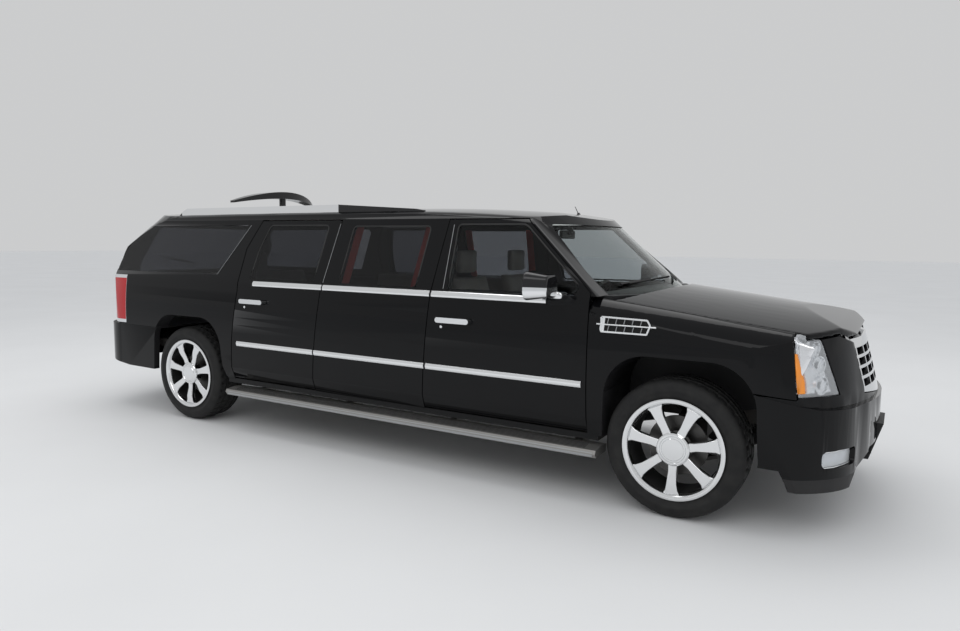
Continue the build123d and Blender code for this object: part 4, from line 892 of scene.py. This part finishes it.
class LIMO_OT_lamps(bpy.types.Operator):
    """Headlamps, grille, fog lamps and tail lamps: clear covers over bright reflectors"""

    bl_idname = "limo.lamps"
    bl_label = "Lamps and grille"

    headlamp_z = 0.70           # the front lamps' node also holds the fog lamps, which lie below this
    grille_top = 1.01           # the openings between the grille's bars end here

    def shell(self, node, name, lowest, shrink, voxel=0.0):
        """The solids of a lamp node above a height, as one clean piece, moved in by shrink."""
        piece = copy_of(nodes[node], name)
        repair(piece)
        pick(piece, "vertices", lambda vertex: not vertex.co.z > lowest)
        bpy.ops.mesh.delete(type="VERT")
        if shrink:
            bpy.ops.mesh.select_all(action="SELECT")
            bpy.ops.transform.shrink_fatten(value=-shrink, use_even_offset=True)
        close()
        if voxel:
            reskin(piece, voxel, 30)
        return soften(piece, 0, angle=30)

    def headlamps(self):
        """Covers, reflectors behind them, three bright bowls a side and an amber marker at the fender."""
        lens = self.shell("front_lamps", "headlamp_covers", self.headlamp_z, 0, 0.0045)
        back = self.shell("front_lamps", "headlamp_reflectors", self.headlamp_z, 0.008, 0.006)
        set_down(back, (-0.022, 0, 0))
        form = self.shell("front_lamps", "marker_form", self.headlamp_z, -0.0015)
        dress(lens, "lamp_lens", replaces=("front_lamps",))
        dress(back, "lamp_reflector")
        bowls = []
        for z, y, radius in ((0.835, -0.790, 0.046), (0.942, -0.795, 0.046), (1.035, -0.805, 0.032)):
            face = strike(lens, (front_x + 2, y, z), (-1, 0, 0))
            bowl = lathe("lamp_bowl", ((POLE, 0.060), (radius * 0.45, 0.062), (radius * 0.62, 0.044),
                                       (radius * 0.70, 0.020), (radius, 0.066), (radius * 1.12, 0.066),
                                       (radius * 1.12, -0.02), (POLE, -0.02)), axis="X", steps=48)
            bowls.append(set_down(bowl, face - Vector((0.078, -0.020, 0)), -30))
        on_both_sides(join(bowls, "lamp_bowls"), "bright_chrome")
        outline = ((0.634, 0.800), (0.606, 1.010), (0.620, 1.010), (0.662, 0.860), (0.668, 0.800))
        marker = prism("side_marker", [(front_x + x, z) for x, z in outline], 0.10, (0, -0.86, 0))
        modify(marker, "BOOLEAN", operation="INTERSECT", object=form, solver="EXACT")
        bpy.data.objects.remove(form)
        on_both_sides(marker, "amber_lens")

    def fog_lamps(self):
        """Lenses in the bumper, each with a bowl behind it and a bright strip above and below."""
        plan = ((0.880, 0.632), (0.852, 0.715), (0.812, 0.795), (0.765, 0.850))

        def line(inward, aside, forth=True):
            """The lamp's front line in plan, moved inward, from the middle outwards or back."""
            return [(front_x + x - inward, -y + aside) for x, y in (plan if forth else reversed(plan))]

        def slab(name, outline, z, height, bevel):
            return prism(name, outline, height, (0, 0, z), FORWARDS, LEFTWARDS, bevel)

        inner = line(0.014, 0.004, False)
        lens = slab("fog_lens", line(0, 0) + inner, 0.401, 0.078, 0.004)
        on_both_sides(lens, "lamp_lens")
        bowl = slab("fog_bowl", line(0.017, 0.005) + line(0.050, 0.010, False), 0.403, 0.074, 0.003)
        on_both_sides(bowl, "lamp_reflector")
        trim_low = slab("fog_trim", line(-0.004, -0.002) + inner, 0.394, 0.006, 0.002)
        trim_high = moved(trim_low, "fog_trim_high", (0, 0, 0.086))
        on_both_sides(join([trim_low, trim_high], "fog_trim"), "bright_chrome")

    def tail_lamps(self):
        """Red covers with bright bands at their top and bottom and at their inner and front ends."""
        band, inner_band, front_band = 0.030, 0.165, 0.034
        low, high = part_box("tail_lamps")
        cover = soften(self.shell("tail_lamps", "tail_lamp_covers", 0, 0), 0.004, angle=40)
        cut_across(cover, [(0, 0, low.z + band), (0, 0, high.z - band)], UPWARDS)
        cut_across(cover, [(0, side * (high.y - inner_band), 0) for side in (-1, 1)], LEFTWARDS)
        dress(cover, "red_lens", replaces=("tail_lamps",))
        paint_faces(cover, "lamp_reflector", lambda centre, normal: (
            centre.x > high.x - front_band or not low.z + band < centre.z < high.z - band
            or (normal.x < -0.5 and abs(centre.y) < high.y - inner_band)))

    def execute(self, context):
        self.headlamps()
        grille = smooth_copy("grille", "grille_bars", 0.0035)
        dress(grille, "bright_chrome", replaces=("grille",))
        paint_faces(grille, "gloss_black", lambda centre, normal: (
            normal.x < 0.35 and centre.z < self.grille_top))
        self.fog_lamps()
        self.tail_lamps()
        return {"FINISHED"}


class LIMO_OT_sills(bpy.types.Operator):
    """Running boards with a bright lower edge and ribbed rubber, and painted sills behind them"""

    bl_idname = "limo.sills"
    bl_label = "Running boards and sills"

    ribs = 5
    rib_pitch = 0.018
    first_rib = 0.935
    board_fall = 0.111          # the board's top falls outwards at this slope
    sill_y, sill_top = 0.862, 0.45      # the floor's painted edge, further out and lower than these
    carpet_z = 0.64

    def execute(self, context):
        low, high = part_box("running_boards")
        length = high.x - low.x
        edge = along_x("board_edge", ((-1.034, 0.300), (-1.0385, 0.318), (-1.0365, 0.330), (-1.030, 0.318),
                                      (-1.022, 0.296)), low.x + 0.02, length - 0.04, bevel=0.001)
        on_both_sides(edge, "satin_metal")
        ribs = []
        for count in range(self.ribs):
            y = self.first_rib + count * self.rib_pitch
            top = 0.3525 - max(0, y - 0.94) * self.board_fall
            ribs.append(along_x("board_rib", ((-y - 0.005, top - 0.004), (-y - 0.003, top + 0.002),
                                              (-y + 0.003, top + 0.002), (-y + 0.005, top - 0.004)),
                                low.x + 0.08, length - 0.16))
        on_both_sides(join(ribs, "board_rubber"), "rubber_seal")
        floor = smooth_copy("floor_pan", "floor_and_sills", 0.002)
        dress(floor, "frame_black", replaces=("floor_pan",))
        paint_faces(floor, "black_paint", lambda centre, normal: (
            abs(centre.y) > self.sill_y and centre.z < self.sill_top))
        paint_faces(floor, "carpet", lambda centre, normal: normal.z > 0.8 and centre.z > self.carpet_z)
        return {"FINISHED"}


# Side windows: name, body and outline of (x from the front axle, z)
WINDOWS = (
    ("front_window", "front_door",
     ((-1.561, 1.252), (-1.573, 1.703), (-1.042, 1.703), (-0.606, 1.322), (-0.640, 1.262))),
    ("stretch_window", "root", ((-2.532, 1.252), (-2.502, 1.692), (-1.786, 1.692), (-1.818, 1.252))),
    ("rear_window", "rear_door",
     ((-3.480, 1.252), (-3.452, 1.500), (-3.384, 1.700), (-2.740, 1.700), (-2.774, 1.252))),
)

# Painted highlights: thin bright strips beside some windows that stand for the highlight along the door seams
# and window edges: name, body, x and z of the lower and of the upper end
SEAM_HIGHLIGHTS = (
    ("quarter_edge", "root", (-3.874, 1.285), (-3.612, 1.695)),
    ("stretch_edge", "rear_door", (-2.6795, 1.260), (-2.636, 1.705)),
    ("front_edge", "front_door", (-1.593, 1.262), (-1.604, 1.695)),
)


class LIMO_OT_windows(bpy.types.Operator):
    """Seals round the side windows, the red lining behind the middle ones, painted highlight strips at the
    seams, door locks and wipers
    """

    bl_idname = "limo.windows"
    bl_label = "Window seals, locks and wipers"

    base_z = 1.25               # the windows' outlines are drawn up a leaning plane from here

    def leaning(self, name, outline, depth, inward, **shape):
        """A flat piece on the glass's plane, drawn in x from the front axle and height above base_z."""
        lean = (BELT[1] - ROOF[1]) / (ROOF[0] - BELT[0])
        origin = (front_x, -skin_y(self.base_z) + inward, self.base_z)
        return prism(name, outline, depth, origin, FORWARDS, (0, lean, 1), **shape)

    def glass_point(self, y, z):
        """A point just outside the windshield."""
        return strike(nodes["windshield"], (front_x + 1, y, z), (-1, 0, 0)) + Vector((0.014, 0, 0.010))

    def execute(self, context):
        for name, body, outline in WINDOWS:
            seal = self.leaning(f"{name}_seal", [(x, z - self.base_z) for x, z in outline], 0.006, 0.0075,
                                corner=0.034, hollow=0.011, bevel=0.0015)
            on_both_sides(seal, "rubber_seal", body)
        # the lining shows as three folds at either end of the middle window
        wide, tall, pitch = 0.026, 0.44, 0.021
        folds = []
        for foot_x, head_x in ((-2.525, -2.497), (-1.892, -1.858)):
            for fold in range(3):
                foot, head = foot_x + fold * pitch, head_x + fold * pitch
                outline = ((foot, 0), (head, tall), (head + wide, tall), (foot + wide, 0))
                folds.append(self.leaning("fold", outline, 0.012, 0.045, bevel=0.005))
        on_both_sides(join(folds, "window_lining"), "red_velvet")
        wide = 0.004
        # painted highlight: bright satin metal strips along the door seams and window edges
        for name, body, (low_x, low_z), (high_x, high_z) in SEAM_HIGHLIGHTS:
            foot, head = low_z - self.base_z, high_z - self.base_z
            outline = ((low_x, foot), (high_x, head), (high_x + wide, head), (low_x + wide, foot))
            on_both_sides(self.leaning(name, outline, 0.005, 0.0035), "satin_metal", body)
        for body, x, z in (("front_door", -1.585, 1.008), ("rear_door", -3.505, 1.034)):
            profile = ((POLE, -0.0035), (0.0075, -0.0035), (0.0100, -0.0015), (0.0100, 0.006), (POLE, 0.006))
            lock = lathe(f"{body}_lock", profile, (front_x + x, -skin_y(z), z), steps=32)
            on_both_sides(lock, "bright_chrome", body)
        # the wipers' feet and tips as (y, z) on the windshield
        for side, foot, tip in (("right", (-0.62, 1.312), (0.02, 1.345)),
                                ("left", (0.12, 1.312), (0.70, 1.375))):
            made = wiper(f"wiper_{side}", self.glass_point(*foot), self.glass_point(*tip), (0.66, 0, 0.75),
                         (0.008, 0.01, 0.6, 0.008), (0.12, 0.014, 0.012))
            dress(made, "black_plastic")
        return {"FINISHED"}


class LIMO_OT_seats(bpy.types.Operator):
    """Padded leather seats, filled out by a cloth simulation"""

    bl_idname = "limo.seats"
    bl_label = "Seats"

    most = 0.010                # the filling moves no point further than this
    frames = 20
    pressure = 4

    def pads(self, x, y, width, back_high, turn):
        """The cushions of one seat that faces along turn, before they are filled, and its plain base."""
        across = width - 0.03
        made = []
        for name, wide, outline in (
            ("cushion", across, ((-0.235, 0.800), (-0.240, 0.880), (0.205, 0.936), (0.236, 0.895),
                                 (0.222, 0.790))),
            ("backrest", across, ((-0.275, 0.912), (-0.155, 0.952), (-0.264, back_high - 0.018),
                                  (-0.336, back_high - 0.018))),
            ("headrest", 0.235, ((-0.276, back_high + 0.008), (-0.280, back_high + 0.176),
                                 (-0.338, back_high + 0.176), (-0.337, back_high + 0.008))),
        ):
            pad = prism(name, outline, wide, (0, wide / 2, 0))
            made.append(set_down(pad, (x, y, 0), turn))
        half = width / 2 - 0.02
        base = new_box("seat_base", (-0.20, -half, 0.655), (0.20, half, 0.790), 0.02)
        dress(set_down(base, (x, y, 0), turn), "interior_plastic")
        return made

    def fill(self, piece, voxel):
        """Round a piece's pads, blow them up a little and smooth them."""
        reskin(piece, voxel, 4)
        rest = [vertex.co.copy() for vertex in piece.data.vertices]
        scene = bpy.context.scene
        cloth = take(piece).modifiers.new("Cloth", "CLOTH")
        cloth.settings.use_pressure = True
        cloth.settings.uniform_pressure_force = self.pressure
        cloth.settings.effector_weights.gravity = 0
        cloth.settings.quality = 4
        cloth.point_cache.frame_start, cloth.point_cache.frame_end = 1, self.frames
        for number in range(1, self.frames + 1):
            scene.frame_set(number)
        bpy.ops.object.modifier_apply(modifier=cloth.name)
        scene.frame_set(1)
        for vertex, start in zip(piece.data.vertices, rest):
            step = vertex.co - start
            if step.length > self.most:
                vertex.co = start + step * (self.most / step.length)
        modify(piece, "SUBSURF", levels=1, render_levels=1)

    def execute(self, context):
        # each row: node, voxel size, and the seats as (x, y, width, top of the backrest, turn)
        rows = (
            ("front_seats", 0.015,
             ((front_x - 1.45, -0.40, 0.52, 1.34, 0), (front_x - 1.45, 0.40, 0.52, 1.34, 0))),
            ("rear_seats", 0.024,
             ((rear_x + 0.12, 0, 1.25, 1.30, 0), (rear_x + 1.50, 0.48, 1.60, 1.28, -90))),
        )
        for node, voxel, seats in rows:
            piece = join([pad for seat in seats for pad in self.pads(*seat)], f"{node}_pads")
            self.fill(piece, voxel)
            dress(piece, "pale_leather", replaces=(node,))
        return {"FINISHED"}


class LIMO_OT_rear(bpy.types.Operator):
    """Blank plate, handle bar, wiper and lamps at the rear, and the inside mirror"""

    bl_idname = "limo.rear"
    bl_label = "Rear details"

    plate_z = 0.985
    bar_z = 1.115
    reflector_z = 0.50
    reflector_y = 0.62

    def surface(self, node, z, y=0.0):
        """The rearmost point of a node at one height."""
        return strike(nodes[node], (rear_x - 3, y, z), FORWARDS)

    def execute(self, context):
        x = self.surface("tailgate", self.plate_z).x
        wide, tall = 0.152, 0.076
        plate = prism("number_plate", ((-wide, -tall), (-wide, tall), (wide, tall), (wide, -tall)), 0.002,
                      (x - 0.0035, 0, self.plate_z), RIGHTWARDS, UPWARDS, corner=0.010, bevel=0.0005)
        dress(plate, "blank_plate", "tailgate")
        x = self.surface("tailgate", self.bar_z).x
        bar = new_box("tailgate_bar", (x - 0.016, -0.33, 1.100), (x + 0.004, 0.33, 1.134), 0.006)
        dress(bar, "bright_chrome", "tailgate")
        foot = self.surface("tailgate_glass", 1.33) - Vector((0.014, 0, 0))
        tip = self.surface("tailgate_glass", 1.42, -0.42) - Vector((0.012, 0, 0))
        dress(wiper("rear_wiper", foot, tip, (-1, 0, 0.2), (0.009, 0.03, 0.7, 0.009), (0.25, 0.012, 0.013)),
              "black_plastic", "tailgate")
        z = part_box("tailgate")[1].z - 0.022
        x = self.surface("tailgate", z).x
        brake = new_box("high_brake_lamp", (x - 0.006, -0.19, z - 0.010), (x + 0.01, 0.19, z + 0.010), 0.004)
        dress(brake, "red_lens", "tailgate")
        for y in (-self.reflector_y, self.reflector_y):
            x = self.surface("rear_bumper", self.reflector_z, y).x
            reflector = new_box("bumper_reflector", (x - 0.003, y - 0.075, self.reflector_z - 0.015),
                                (x + 0.022, y + 0.075, self.reflector_z + 0.015), 0.003)
            dress(reflector, "red_lens")
        mirror = new_box("inside_mirror", (front_x - 1.130, -0.12, 1.610),
                         (front_x - 1.100, 0.12, 1.672), 0.012, 4)
        stem = new_box("inside_stem", (front_x - 1.112, -0.012, 1.64),
                       (front_x - 1.070, 0.012, 1.70), 0.004, 2)
        dress(join([mirror, stem], "inside_mirror"), "interior_plastic")
        return {"FINISHED"}


class LIMO_OT_stage(bpy.types.Operator):
    """Light the vehicle on a pale floor and set the camera"""

    bl_idname = "limo.stage"
    bl_label = "Studio and camera"

    # lamps: name, place, aim, size and power
    lamps = (
        ("key_light", (2.5, -9.0, 8.0), (0, 0, 0.8), (10.0, 5.0), 210),
        ("top_light", (-1.0, 1.0, 8.5), (0, 0, 0.9), (10.0, 4.0), 230),
    )
    light_air = (0.80, 0.82, 0.85, 1)           # what lights the vehicle
    seen_air = (0.60, 0.605, 0.61, 1)           # what the camera, glass and metal see
    # the photograph's camera: its place from the front axle, and its yaw, pitch and roll in degrees
    camera_place = (1.0667, -4.9513, 1.5814)
    camera_turn = (-30.68, 5.94, 0.61)

    def floor(self):
        """A wide pale floor."""
        clear_selection()
        bpy.ops.mesh.primitive_plane_add(size=160, location=(0, 0, 0))
        floor = bpy.context.object
        floor.name = "studio_floor"
        settle(floor)
        floor.data.materials.append(MATERIALS["floor"])

    def air(self, scene):
        """Light from all round, with its own colour where it is seen."""
        world = bpy.data.worlds.new("studio_air")
        world.use_nodes = True
        tree = world.node_tree
        background = tree.nodes["Background"]
        background.inputs["Strength"].default_value = 1
        path = add_node(tree, "LightPath")
        seen = add_node(tree, "Math", operation="MAXIMUM")
        mirrored_too = add_node(tree, "Math", operation="MAXIMUM")
        mix = add_node(tree, "Mix", data_type="RGBA")
        mix.inputs[MIX_FROM].default_value = self.light_air
        mix.inputs[MIX_TO].default_value = self.seen_air
        wire(tree,
             (path.outputs["Is Camera Ray"], seen.inputs[0]),
             (path.outputs["Is Transmission Ray"], seen.inputs[1]),
             (seen.outputs["Value"], mirrored_too.inputs[0]),
             (path.outputs["Is Glossy Ray"], mirrored_too.inputs[1]),
             (mirrored_too.outputs["Value"], mix.inputs[0]),
             (mix.outputs[MIX_RESULT], background.inputs["Color"]))
        scene.world = world

    def camera(self, scene):
        """A camera at the photograph's angle."""
        lens = bpy.data.cameras.new("photo_camera")
        lens.lens = scene.limousine.lens
        lens.sensor_width = 36
        lens.clip_end = 300
        camera = bpy.data.objects.new("photo_camera", lens)
        scene.collection.objects.link(camera)
        yaw, pitch, roll = (math.radians(degrees) for degrees in self.camera_turn)
        ahead = Vector((math.sin(yaw) * math.cos(pitch), math.cos(yaw) * math.cos(pitch), -math.sin(pitch)))
        level = Vector((math.cos(yaw), -math.sin(yaw), 0))
        upright = level.cross(ahead)
        right = level * math.cos(roll) + upright * math.sin(roll)
        up = upright * math.cos(roll) - level * math.sin(roll)
        turn = Matrix((right, up, -ahead)).transposed().to_4x4()
        place = Vector((front_x, 0, 0)) + Vector(self.camera_place)
        camera.matrix_world = Matrix.Translation(place) @ turn
        scene.camera = camera

    def execute(self, context):
        scene = context.scene
        self.floor()
        self.air(scene)
        for name, place, aim, size, power in self.lamps:
            lamp = bpy.data.lights.new(name, "AREA")
            lamp.shape = "RECTANGLE"
            lamp.size, lamp.size_y = size
            lamp.energy = power
            light = bpy.data.objects.new(name, lamp)
            scene.collection.objects.link(light)
            light.location = place
            light.rotation_euler = (Vector(aim) - Vector(place)).to_track_quat("-Z", "Y").to_euler()
        self.camera(scene)
        scene.view_settings.view_transform = "Standard"
        return {"FINISHED"}


class LIMO_PT_sidebar(bpy.types.Panel):
    """Lists the limousine's steps."""

    bl_idname = "LIMO_PT_sidebar"
    bl_label = "Limousine"
    bl_space_type = "VIEW_3D"
    bl_region_type = "UI"
    bl_category = "Limousine"

    def draw(self, context):
        for step in STEPS:
            self.layout.operator(step.bl_idname)


STEPS = (LIMO_OT_finishes, LIMO_OT_panels, LIMO_OT_wheels, LIMO_OT_strips, LIMO_OT_vents, LIMO_OT_mirrors,
         LIMO_OT_rails, LIMO_OT_lamps, LIMO_OT_sills, LIMO_OT_windows, LIMO_OT_seats, LIMO_OT_rear,
         LIMO_OT_stage)
CLASSES = (LimousineLooks, *STEPS, LIMO_PT_sidebar)


def register():
    """Register the add-on's classes and its settings."""
    for item in CLASSES:
        bpy.utils.register_class(item)
    bpy.types.Scene.limousine = bpy.props.PointerProperty(type=LimousineLooks)


def unregister():
    """Remove the settings and the classes."""
    del bpy.types.Scene.limousine
    for item in reversed(CLASSES):
        bpy.utils.unregister_class(item)


def main():
    """Build every piece in order."""
    register()
    for step in STEPS:
        group, name = step.bl_idname.split(".")
        getattr(getattr(bpy.ops, group), name)()


if __name__ == "__main__":
    main()
